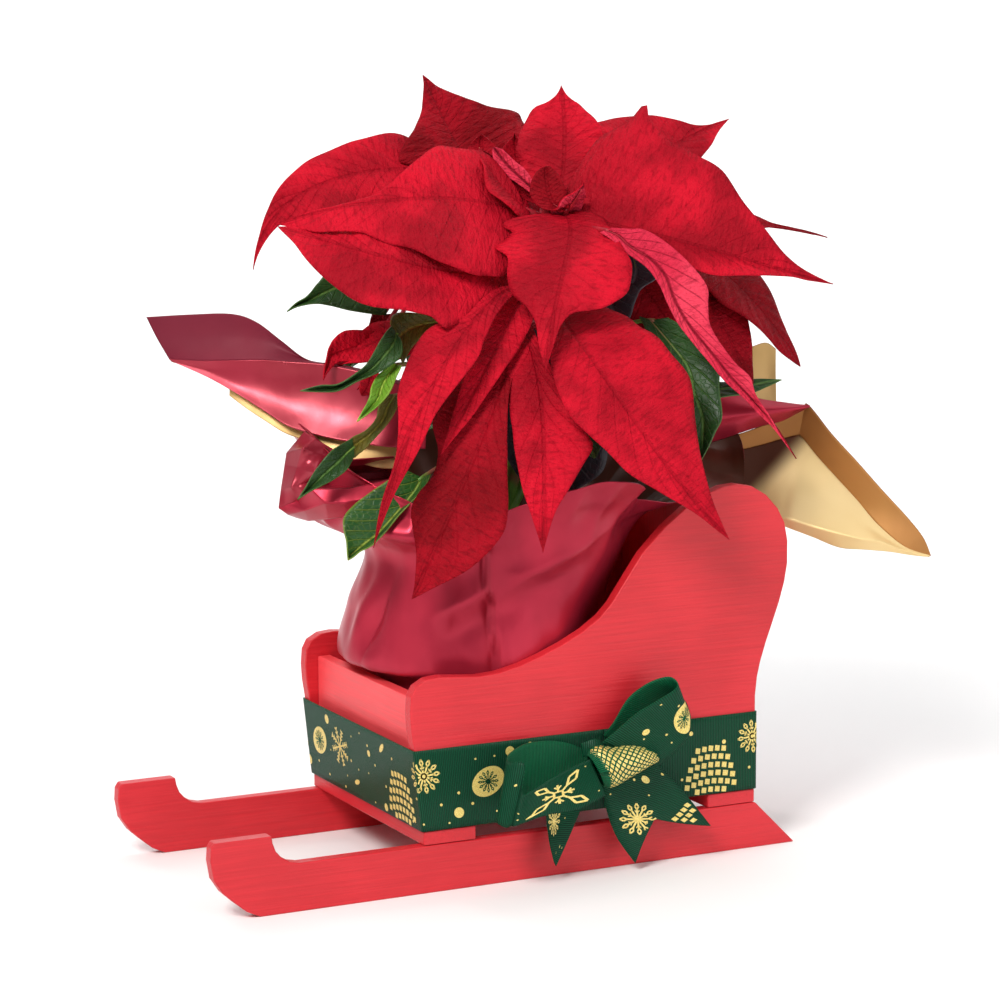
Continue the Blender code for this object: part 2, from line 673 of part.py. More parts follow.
def build_bloom(name, top, bracts, depth, paint, home):
    """A short red stem with its bracts sunk into it."""
    x, y, z = top
    places = [(x, y, z - depth), (x, y, z - depth / 2), (x, y, z)]
    pieces = [stem(name + "_stem", places, BLOOM_STEM_RADII, paint, home)]
    for index, values in enumerate(bracts):
        root = (x, y, z - values["at"])
        pieces.append(leaf_piece(f"{name}_bract_{index}", root, values, paint, home))
    return fuse(name, pieces, paint, home)


STEM_RADII = (4.8, 4.8, 4.4, 3.8, 3.4)
BRANCH_RADII = (3.6, 3.4, 3.2, 3.0)
STEMS = {
    "main": ((168, 64, 118), (168, 64, 148), (178, 60, 182), (188, 50, 225), (190, 46, 249)),
    "rear": ((171, 63, 158), (173, 76, 200), (182, 96, 255), (185, 105, 302)),
    "right": ((174, 61, 160), (205, 66, 205), (245, 70, 245), (254, 71, 266)),
}
# Each green leaf: which stem it grows from and at what height, then as for a bract.
GREEN_LEAVES = (
    ("rear", 250, leaf(0, 176, 106, 10, 4, 4, 28, 0.45, -55, widest=0.5)),
    ("main", 244, leaf(0, 179, 118, -14, 18, 8, 20, 0.40, -50)),
    ("main", 232, leaf(0, -174, 100, -16, 20, 2, 14, 0.50, -50)),
    ("main", 222, leaf(0, -171, 134, -37, 19, 8, 20, 0.50, -40)),
    ("main", 206, leaf(0, -164, 118, -52, 20, 8, 32, 0.65, -40, widest=0.5)),
    ("main", 240, leaf(0, -57, 84, -52, 33, 1, 30, 0.25, 40, widest=0.45)),
    ("main", 222, leaf(0, -19, 118, 3, -4, -5, 16, 0.30, 30, widest=0.45)),
    ("main", 217, leaf(0, -90, 60, -20, 11, -1, 26, 0.20, 0, widest=0.5)),
    ("rear", 235, leaf(0, 95, 74, -14, 14, 0, 36, 0.25, 0)),
    ("rear", 215, leaf(0, 140, 78, -12, 14, 0, 34, 0.25, 0)),
    ("right", 225, leaf(0, 60, 50, -8, 8, 0, 30, 0.25, 0)),
    ("rear", 262, leaf(0, 70, 82, -28, 16, 4, 38, 0.25, 0)),
    ("rear", 248, leaf(0, 128, 84, -30, 18, -4, 38, 0.25, 0)),
    ("rear", 222, leaf(0, 48, 62, -18, 16, 0, 32, 0.25, 0)),
    ("main", 196, leaf(0, 165, 66, 2, 10, 0, 30, 0.30, 0)),
    ("right", 236, leaf(0, 20, 46, -10, 12, 0, 28, 0.25, 0)),
    ("right", 250, leaf(0, 100, 66, -30, 16, 0, 34, 0.25, 0)),
)


# The small flower buds in the middle of a bloom: how far out, where round it and how far up.
BUDS = ((0.0, 0, 8.0), (3.6, 20, 6.0), (3.8, 95, 6.6), (3.6, 160, 5.8), (3.8, 230, 6.4),
        (3.6, 305, 6.0))
BUD_SIZES = (2.3, 2.3, 2.9)


def build_buds(name, top, paint, home):
    """A short stub with round buds sunk into it, standing just over the bloom's red stem."""
    x, y, z = top
    places = [(x, y, z + GAP), (x, y, z + 3.0), (x, y, z + 7.0)]
    pieces = [stem(name + "_stub", places, (2.6, 3.2, 3.0), paint, home)]
    for index, (out, turn, up) in enumerate(BUDS):
        angle = math.radians(turn)
        centre = (x + out * math.cos(angle), y + out * math.sin(angle), z + up)
        pieces.append(ball(f"{name}_bud_{index}", centre, BUD_SIZES, paint, home, 5, 7))
    fuse(name, pieces, paint, home)


def stem_point(name, level):
    heights = [p[2] for p in STEMS[name]]
    return tuple(float(np.interp(level, heights, [p[k] for p in STEMS[name]])) for k in range(3))


def build_stems(paint, home):
    pieces = [stem("stem_main", STEMS["main"], STEM_RADII, paint, home)]
    pieces.append(stem("stem_rear", STEMS["rear"], BRANCH_RADII, paint, home))
    pieces.append(stem("stem_right", STEMS["right"], BRANCH_RADII, paint, home))
    for index, (name, level, values) in enumerate(GREEN_LEAVES):
        root = stem_point(name, level)
        pieces.append(leaf_piece(f"green_leaf_{index}", root, values, paint, home))
    return fuse("leafy_stems", pieces, paint, home)


def centre_on_origin(home):
    """Moves everything so that the middle of the foot of the whole is at the origin."""
    points = np.array([v.co for thing in home.objects for v in thing.data.vertices])
    low, high = points.min(axis=0), points.max(axis=0)
    shift = (-(low[0] + high[0]) / 2, -(low[1] + high[1]) / 2, -low[2])
    for thing in home.objects:
        for vert in thing.data.vertices:
            vert.co = [c + s for c, s in zip(vert.co, shift)]
        thing.data.update()


def main():
    clear_scene()
    home = new_collection("poinsettia_in_sleigh")
    red = material("sleigh_red", (0.62, 0.02, 0.03), 0.5)
    pale = material("sleigh_red_front", (0.72, 0.04, 0.04), 0.5)
    green = material("ribbon_green", (0.01, 0.09, 0.05), 0.6)
    dark = material("pot_plastic", (0.03, 0.035, 0.035), 0.5)
    earth = material("soil_brown", (0.03, 0.02, 0.012), 0.95)
    satin = material("film_maroon", (0.24, 0.03, 0.05), 0.35)
    bract = material("bract_red", (0.6, 0.01, 0.02), 0.6)
    leafy = material("leaf_green", (0.03, 0.1, 0.02), 0.55)
    bud = material("bud_yellow_green", (0.45, 0.42, 0.05), 0.5)
    build_sleigh(red, pale, home)
    build_band(green, home)
    build_bow(green, home)
    build_pot(dark, earth, home)
    build_film(satin, home)
    build_stems(leafy, home)
    for name, top, bracts, depth in BLOOMS:
        build_bloom("bloom_" + name, top, bracts, depth, bract, home)
        build_buds("buds_" + name, top, bud, home)
    centre_on_origin(home)


main()
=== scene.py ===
import math

import bmesh
import bpy
import numpy as np
from mathutils import Matrix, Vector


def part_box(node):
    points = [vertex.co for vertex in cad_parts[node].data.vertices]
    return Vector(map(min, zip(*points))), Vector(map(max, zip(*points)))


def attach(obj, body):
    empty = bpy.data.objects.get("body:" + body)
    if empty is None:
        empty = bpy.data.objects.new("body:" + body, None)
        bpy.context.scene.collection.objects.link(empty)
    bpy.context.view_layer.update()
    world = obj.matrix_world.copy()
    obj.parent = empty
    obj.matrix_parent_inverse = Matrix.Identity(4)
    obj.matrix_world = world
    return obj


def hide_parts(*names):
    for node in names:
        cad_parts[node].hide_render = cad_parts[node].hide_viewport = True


# A potted poinsettia in a film wrap, in a painted gift sleigh with a printed ribbon: the looks.
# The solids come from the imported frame. The plant, film, ribbon and bow are built here again as
# finer pieces in the same places, and the boards, pot and soil keep their solids.
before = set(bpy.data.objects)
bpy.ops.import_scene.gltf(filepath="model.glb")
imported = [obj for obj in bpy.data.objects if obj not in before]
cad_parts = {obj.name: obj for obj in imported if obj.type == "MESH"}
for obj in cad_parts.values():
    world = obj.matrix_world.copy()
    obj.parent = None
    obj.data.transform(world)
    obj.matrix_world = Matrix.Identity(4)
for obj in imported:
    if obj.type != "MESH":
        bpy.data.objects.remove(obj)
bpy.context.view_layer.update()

# Everything below is in millimetres in the sleigh's own frame: X from the near runner's front
# towards the tall back, Y away from the side with the bow, Z up. SHIFT and MM turn it into the
# model's frame.
MM = 0.001
RUNNER_NOSE = 2.0
runner_low = np.array(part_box("runner_near")[0]) / MM
SHIFT = runner_low + (RUNNER_NOSE, 0.0, 0.0)

WIDTH = 128.6
BOARD = 6.5
RUNNER_HIGH = 22.4
GAP = 0.3
FLOOR_TOP = RUNNER_HIGH + BOARD + GAP + BOARD
POT = np.array([166.0, WIDTH / 2, 0.0])

# The photograph's view: how far the camera is turned about Z, raised and rolled, and which ways
# are right, up and near in it.
CAMERA_TURN = math.radians(-26.45)
CAMERA_RISE = math.radians(8.63)
CAMERA_ROLL = math.radians(-0.29)
VIEW_NEAR = np.array([math.sin(CAMERA_TURN) * math.cos(CAMERA_RISE),
                      -math.cos(CAMERA_TURN) * math.cos(CAMERA_RISE), math.sin(CAMERA_RISE)])
LEVEL_RIGHT = np.array([math.cos(CAMERA_TURN), math.sin(CAMERA_TURN), 0.0])
LEVEL_UP = np.cross(VIEW_NEAR, LEVEL_RIGHT)
VIEW_RIGHT = math.cos(CAMERA_ROLL) * LEVEL_RIGHT + math.sin(CAMERA_ROLL) * LEVEL_UP
VIEW_UP = np.cross(VIEW_NEAR, VIEW_RIGHT)
VIEW_AXES = np.stack([VIEW_RIGHT, VIEW_UP, VIEW_NEAR])


def to_row(points):
    """Points in the sleigh's frame, in the model's frame in metres."""
    return (np.asarray(points, float) + SHIFT) * MM


def add_object(name, data):
    """A new object in the scene."""
    thing = bpy.data.objects.new(name, data)
    bpy.context.scene.collection.objects.link(thing)
    return thing


# Mesh helpers

class Pile:
    """Collects patches of mesh that make one piece, with their UVs and paints."""

    def __init__(self):
        self.points, self.uvs, self.sizes, self.faces, self.paints = [], [], [], [], []
        self.count = 0

    def add(self, points, faces, uv=None, size=None, paint=0):
        """Faces number the patch's own points; uv and size are one pair for each point."""
        points = np.asarray(points, float).reshape(-1, 3)
        nothing = np.zeros((len(points), 2))
        self.points.append(points)
        self.uvs.append(nothing if uv is None else np.asarray(uv, float).reshape(-1, 2))
        self.sizes.append(nothing if size is None else np.asarray(size, float).reshape(-1, 2))
        for face in faces:
            self.faces.append(tuple(int(i) + self.count for i in face))
            self.paints.append(paint)
        self.count += len(points)

    def piece(self, name, materials):
        """The finished object, smooth, with its patches' UVs as uv maps blade and size."""
        mesh = bpy.data.meshes.new(name)
        mesh.from_pydata(to_row(np.concatenate(self.points)).tolist(), [], self.faces)
        for made in materials:
            mesh.materials.append(made)
        mesh.polygons.foreach_set("material_index", self.paints)
        mesh.polygons.foreach_set("use_smooth", [True] * len(self.faces))
        corners = np.zeros(len(mesh.loops), np.int32)
        mesh.loops.foreach_get("vertex_index", corners)
        for layer, values in (("blade", self.uvs), ("size", self.sizes)):
            spots = np.concatenate(values)[corners]
            mesh.uv_layers.new(name=layer).data.foreach_set("uv", spots.ravel())
        return add_object(name, mesh)


def grid_faces(rows, columns, closed=False):
    """The quads of a grid whose points come row by row; closed joins each row's ends."""
    across = columns if closed else columns - 1
    low = np.arange(rows - 1)[:, None] * columns + np.arange(across)[None, :]
    nxt = np.arange(rows - 1)[:, None] * columns + (np.arange(across)[None, :] + 1) % columns
    return np.stack([low, nxt, nxt + columns, low + columns], axis=-1).reshape(-1, 4)


def smooth_rows(values, count, closed=False):
    """Count even steps along a smooth line through the given rows."""
    values = np.asarray(values, float)
    rows = len(values)
    spans = rows if closed else rows - 1
    place = np.linspace(0, spans, count, endpoint=not closed)
    first = np.minimum(place.astype(int), spans - 1)
    part = (place - first).reshape((-1,) + (1,) * (values.ndim - 1))

    def pick(index):
        """The rows at each index, going round a closed line and held at an open one's ends."""
        return values[index % rows] if closed else values[np.clip(index, 0, rows - 1)]

    a, b, c, d = pick(first - 1), pick(first), pick(first + 1), pick(first + 2)
    curve = 2 * b + (c - a) * part + (2 * a - 5 * b + 4 * c - d) * part ** 2
    return 0.5 * (curve + (3 * b - a - 3 * c + d) * part ** 3)


def unit(vectors):
    """The vectors, each made one long."""
    return vectors / np.maximum(np.linalg.norm(vectors, axis=-1, keepdims=True), 1e-9)


def grid_normals(grid, closed=False):
    """The surface's direction at each point of a grid of rows and columns."""
    if closed:
        around = np.roll(grid, -1, axis=1) - np.roll(grid, 1, axis=1)
    else:
        around = np.gradient(grid, axis=1)
    return unit(np.cross(around, np.gradient(grid, axis=0)))


# A direction that no stem or stalk follows, from which their rings are turned.
RING_HINT = (0.31, 0.17, 0.93)


def add_tube(pile, line, radii, sides):
    """A round stem through the points of line, closed at both ends."""
    line = np.asarray(line, float)
    along = unit(np.gradient(line, axis=0))
    side = unit(np.cross(along, RING_HINT))
    up = np.cross(along, side)
    turn = np.linspace(0, math.tau, sides, endpoint=False)
    ring = np.cos(turn)[:, None, None] * side + np.sin(turn)[:, None, None] * up
    tube = line + ring * np.asarray(radii, float)[None, :, None]
    points = np.concatenate([tube.transpose(1, 0, 2).reshape(-1, 3), line[:1], line[-1:]])
    rows = len(line)
    faces = grid_faces(rows, sides, closed=True).tolist()
    for k in range(sides):
        nxt = (k + 1) % sides
        faces.append((nxt, k, rows * sides))
        faces.append(((rows - 1) * sides + k, (rows - 1) * sides + nxt, rows * sides + 1))
    share = np.repeat(np.linspace(0, 1, rows), sides)
    uv = np.stack([share, np.tile(turn / math.tau, rows)], axis=-1)
    uv = np.concatenate([uv, [[0, 0.5], [1, 0.5]]])
    pile.add(points, faces, uv, uv)


def thicken(thing, thick):
    """Gives an open surface its thickness; the skin behind it has the next paint in the list."""
    solid = thing.modifiers.new("thickness", "SOLIDIFY")
    solid.thickness = thick * MM
    solid.offset = 0.0
    solid.material_offset = 1
    return thing


# Material helpers

class Tree:
    """A new material, with short ways to add its nodes.

    An input is a value, a colour as text, or an output of another node.
    """

    def __init__(self, name, **sockets):
        self.material = bpy.data.materials.new(name)
        self.material.use_nodes = True
        self.nodes = self.material.node_tree.nodes
        self.links = self.material.node_tree.links
        self.shader = self.nodes["Principled BSDF"]
        for key, value in sockets.items():
            self.feed(self.shader, key.replace("_", " "), value)

    def feed(self, node, key, value):
        """Sets one input of a node, or joins another node's output to it."""
        if isinstance(value, bpy.types.NodeSocket):
            self.links.new(value, node.inputs[key])
        else:
            node.inputs[key].default_value = rgb(value) if isinstance(value, str) else value

    def node(self, kind, inputs=(), out=0, **settings):
        """Adds a node and returns one of its outputs."""
        made = self.nodes.new(kind)
        for key, value in settings.items():
            setattr(made, key, value)
        for key, value in inputs.items() if isinstance(inputs, dict) else enumerate(inputs):
            self.feed(made, key, value)
        return made.outputs[out]

    def math(self, operation, a, b=0.0):
        """One sum, product or other operation on two values."""
        return self.node("ShaderNodeMath", (a, b), operation=operation)

    def sum_of(self, *parts):
        """The sum of parts that are each a value and its weight."""
        total = self.math("MULTIPLY", *parts[0])
        for part in parts[1:]:
            total = self.math("ADD", total, self.math("MULTIPLY", *part))
        return total

    def step(self, value, low, high, start=0.0, end=1.0):
        """A soft step of value from start, below low, to end, above high."""
        return self.node("ShaderNodeMapRange", (value, low, high, start, end),
                         interpolation_type="SMOOTHSTEP")

    def mix(self, share, first, second):
        """The first colour where share is nought, the second where it is one."""
        return self.node("ShaderNodeMix", {0: share, 6: first, 7: second}, out=2, data_type="RGBA")

    def layers(self, tone, *parts):
        """Tone under further colours, each given by its mask, its strength and the colour."""
        for mask, strength, colour in parts:
            tone = self.mix(self.math("MULTIPLY", mask, strength), tone, colour)
        return tone

    def stretched(self, vector, scale):
        """A vector multiplied along each axis by a scale of its own."""
        return self.node("ShaderNodeVectorMath", {0: vector, 1: scale}, operation="MULTIPLY")

    def place(self, stretch=(1.0, 1.0, 1.0)):
        """The point on the piece, in millimetres, stretched along the axes."""
        spot = self.node("ShaderNodeTexCoord", out="Object")
        return self.stretched(spot, tuple(value / MM for value in stretch))

    def uv(self, layer):
        """The place in one of the mesh's uv maps."""
        return self.node("ShaderNodeUVMap", uv_map=layer)

    def split(self, vector):
        """The three parts of a vector."""
        parts = self.nodes.new("ShaderNodeSeparateXYZ")
        self.links.new(vector, parts.inputs[0])
        return parts.outputs[:3]

    def noise(self, vector, scale, detail=3.0, roughness=0.5):
        """Smooth noise from nought to one."""
        return self.node("ShaderNodeTexNoise", {"Vector": vector, "Scale": scale,
                                                "Detail": detail, "Roughness": roughness})

    def cells(self, vector, scale, feature="DISTANCE_TO_EDGE"):
        """A net of uneven cells: how far a point is from an edge, or by "F1" a middle."""
        return self.node("ShaderNodeTexVoronoi", {"Vector": vector, "Scale": scale},
                         out="Distance", feature=feature)

    def finish(self, colour, rough=None, high=None, deep=0.0):
        """Sets the colour, the roughness and a relief that is deep millimetres where high is one."""
        self.feed(self.shader, "Base Color", colour)
        if rough:
            self.feed(self.shader, "Roughness", rough)
        if high:
            normal = self.node("ShaderNodeBump", {"Height": high, "Strength": 1.0,
                                                  "Distance": deep * MM})
            self.feed(self.shader, "Normal", normal)
        return self.material


def rgb(text):
    """A colour written as six hexadecimal digits, as light."""
    values = [int(text[k:k + 2], 16) / 255 for k in (0, 2, 4)]
    light = [v / 12.92 if v <= 0.04045 else ((v + 0.055) / 1.055) ** 2.4 for v in values]
    return (*light, 1.0)


def painted_wood(name, colour, shade, along):
    """Satin paint brushed on thin board, its strokes along one axis."""
    tree = Tree(name, Specular_IOR_Level=0.4)
    stretch = [0.35, 0.35, 0.35]
    stretch["xyz".index(along)] = 0.012
    strokes = tree.noise(tree.place(stretch), 2.2, 5.0, 0.62)
    clouds = tree.noise(tree.place(), 0.018, 2.0)
    tone = tree.step(tree.math("ADD", strokes, clouds), 0.72, 1.28)
    rough = tree.step(strokes, 0.3, 0.7, 0.36, 0.5)
    return tree.finish(tree.mix(tone, shade, colour), rough, strokes, 0.22)


def vein_masks(tree, pairs, slant):
    """Soft lines at the midrib and at the side veins, from the blade's two uv maps."""
    share, side, _ = tree.split(tree.uv("blade"))
    _, across, _ = tree.split(tree.uv("size"))
    out = tree.math("ABSOLUTE", tree.math("SUBTRACT", side, 0.5))
    lean = tree.math("MULTIPLY", tree.math("POWER", out, 0.8), slant)
    phase = tree.math("MULTIPLY", tree.math("SUBTRACT", share, lean), float(pairs))
    beat = tree.math("ABSOLUTE", tree.math("SUBTRACT", tree.math("FRACT", phase), 0.5))
    veins = tree.step(beat, 0.40, 0.5)
    veins = tree.math("MULTIPLY", veins, tree.step(out, 0.5, 0.36))
    rib = tree.step(tree.math("ABSOLUTE", across), 0.013, 0.003)
    return rib, veins, out, share


def bract_paint(name, lit, deep, vein, lines, sheen):
    """Velvety bract: soft wrinkles across it, and veins that leave the midrib."""
    tree = Tree(name, Sheen_Weight=sheen, Sheen_Roughness=0.4, Sheen_Tint="FF7078",
                Specular_IOR_Level=0.07)
    rib, veins, _, share = vein_masks(tree, 14, 0.30)
    net = tree.step(tree.cells(tree.uv("size"), 46.0), 0.16, 0.02)
    wrinkles = tree.noise(tree.stretched(tree.uv("size"), (1.0, 0.3, 1.0)), 52.0, 3.0, 0.55)
    fine = tree.noise(tree.place(), 0.9, 4.0, 0.6)
    clouds = tree.noise(tree.place(), 0.035, 2.0)
    tone = tree.layers(tree.mix(tree.step(clouds, 0.35, 0.65), deep, lit),
                       # painted shade: darker towards the root, where the middle of the plant lies in
                       # shade
                       (tree.step(share, 0.4, 0.0), 0.7, deep),
                       # painted shade in the troughs of the wrinkles
                       (tree.step(wrinkles, 0.52, 0.32), 0.42, vein),
                       (net, lines * 0.2, vein), (veins, lines, vein),
                       (rib, min(lines * 2.5, 0.9), vein))
    high = tree.sum_of((veins, -0.45), (rib, -0.8), (wrinkles, 3.0), (net, -0.2), (fine, 0.2))
    return tree.finish(tone, tree.step(fine, 0.3, 0.7, 0.52, 0.68), high, 0.55)


def leaf_paint(name, lit, deep, vein):
    """Green leaf: smooth, with pale veins and a lighter edge."""
    tree = Tree(name, Specular_IOR_Level=0.3)
    rib, veins, out, _ = vein_masks(tree, 9, 0.36)
    net = tree.step(tree.cells(tree.uv("size"), 34.0), 0.16, 0.02)
    clouds = tree.noise(tree.place(), 0.05, 3.0)
    tone = tree.layers(tree.mix(tree.step(clouds, 0.3, 0.7), deep, lit), (net, 0.07, vein),
                       (veins, 0.35, vein), (rib, 0.85, vein),
                       (tree.step(out, 0.46, 0.5), 0.5, vein))
    high = tree.sum_of((veins, -1.0), (rib, -1.2), (net, -0.3))
    return tree.finish(tone, tree.step(clouds, 0.3, 0.7, 0.36, 0.5), high, 0.4)


def film_paint(name, lit, deep, rough, metal, gloss=0.3, shade=None):
    """Satin film: a soft metal gleam and fine wrinkles; shade darkens it deep in the right wing."""
    tree = Tree(name, Metallic=metal, Specular_IOR_Level=gloss)
    clouds = tree.noise(tree.place(), 0.02, 3.0)
    tone = tree.mix(tree.step(clouds, 0.3, 0.7), deep, lit)
    if shade:
        way = VIEW_RIGHT * WING_SHADE_WAY[0] + VIEW_UP * WING_SHADE_WAY[1]
        along = tree.node("ShaderNodeVectorMath", {0: tree.place(), 1: tuple(way)}, out="Value",
                          operation="DOT_PRODUCT")
        start = float(to_row(WING_MIDDLE) @ way) / MM
        lit_part = tree.step(along, start + WING_SHADE[0], start + WING_SHADE[1])
        tone = tree.mix(lit_part, shade, tone)
    creases = tree.noise(tree.place((1.0, 1.0, 0.35)), 0.06, 4.0, 0.55)
    rough = tree.step(creases, 0.3, 0.7, rough - 0.04, rough + 0.06)
    return tree.finish(tone, rough, creases, 0.25)


def ribbon_paint(name, lit, deep):
    """Ribbed woven ribbon: its ribs run across it, 0.9 mm apart."""
    tree = Tree(name, Specular_IOR_Level=0.16)
    along, _, _ = tree.split(tree.uv("size"))
    beat = tree.math("FRACT", tree.math("MULTIPLY", along, 100 / 0.9))
    away = tree.math("ABSOLUTE", tree.math("SUBTRACT", beat, 0.5))
    rib = tree.math("SUBTRACT", 1.0, tree.math("MULTIPLY", away, 2.0))
    rib = tree.math("POWER", rib, 0.6)
    threads = tree.noise(tree.uv("size"), 160.0, 2.0)
    rough = tree.step(threads, 0.3, 0.7, 0.32, 0.46)
    # painted highlight on the ribs' crests and painted shade between them
    return tree.finish(tree.mix(tree.step(rib, 0.1, 0.9), deep, lit), rough, rib, 0.26)


def gold_print(name):
    """Pale gold print, a little worn and cloudy."""
    tree = Tree(name, Metallic=0.1, Specular_IOR_Level=0.5)
    grain = tree.noise(tree.place(), 1.6, 3.0)
    tone = tree.mix(tree.step(grain, 0.35, 0.65), "D9BE5C", "F0DC88")
    return tree.finish(tone, tree.step(grain, 0.3, 0.7, 0.35, 0.5))


def plain_plastic(name, colour, shade):
    """Dull moulded plastic."""
    tree = Tree(name, Specular_IOR_Level=0.4)
    grain = tree.noise(tree.place(), 0.8, 3.0)
    rough = tree.step(grain, 0.3, 0.7, 0.45, 0.6)
    return tree.finish(tree.mix(grain, shade, colour), rough, grain, 0.05)


def soil_paint():
    """Crumbs of moist peat."""
    tree = Tree("soil_crumbs", Specular_IOR_Level=0.2, Roughness=0.95)
    crumbs = tree.cells(tree.place(), 0.45, "F1")
    grain = tree.noise(tree.place(), 0.7, 5.0, 0.7)
    tone = tree.mix(tree.math("MULTIPLY", crumbs, grain), "4A3A2C", "1A120C")
    return tree.finish(tone, None, tree.math("SUBTRACT", grain, crumbs), 1.6)


def bud_paint():
    """Small buds, green at the foot and yellow with a red flush at the top."""
    tree = Tree("bud_wax", Specular_IOR_Level=0.5, Roughness=0.35)
    high, _, _ = tree.split(tree.uv("blade"))
    tone = tree.mix(tree.step(high, 0.2, 0.65), "5E8A2A", "C9C04A")
    tone = tree.mix(tree.step(high, 0.8, 0.97), tone, "B02A20")
    grain = tree.noise(tree.place(), 2.5, 3.0)
    return tree.finish(tree.layers(tone, (grain, 0.25, "E8E090")), None, grain, 0.1)


def stem_paint(name, lit, deep, flush):
    """A stem's skin, with patches of a second colour."""
    tree = Tree(name, Specular_IOR_Level=0.4)
    clouds = tree.noise(tree.place((1.0, 1.0, 0.3)), 0.25, 3.0)
    tone = tree.mix(tree.step(clouds, 0.3, 0.7), deep, lit)
    patches = tree.noise(tree.place(), 0.06, 2.0)
    tone = tree.mix(tree.step(patches, 0.45, 0.7), tone, flush)
    return tree.finish(tone, tree.step(clouds, 0.3, 0.7, 0.42, 0.58), clouds, 0.3)


# Leaves and bracts

def leaf(at, heading, reach, rise, bow, side, width, stalk, roll, **more):
    """The values of one leaf or bract, in millimetres and degrees.

    At is how far below the bloom's top a bract starts. The tip lies reach out towards heading and
    rise above its start; bow lifts and side shifts the middle of the midrib. Stalk is the share of
    the midrib that is bare, and roll turns the blade about it. Widest is the share where the blade
    is widest. Fold lifts both halves, and wave ripples their edges. Early and late shift a quarter
    and three quarters of the midrib rightwards and upwards, as seen from the side with the bow.
    Edge holds rows of a share of the blade and how far its two edges lie from the midrib there,
    for blades that no plain oval describes. Tone picks the pair of paints for its two sides.
    """
    values = dict(at=at, heading=heading, reach=reach, rise=rise, bow=bow, side=side, width=width,
                  stalk=stalk, roll=roll, fold=8, widest=0.4, wave=1.4, early=(0, 0), late=(0, 0),
                  edge=(), tone=0)
    values.update(more)
    return values


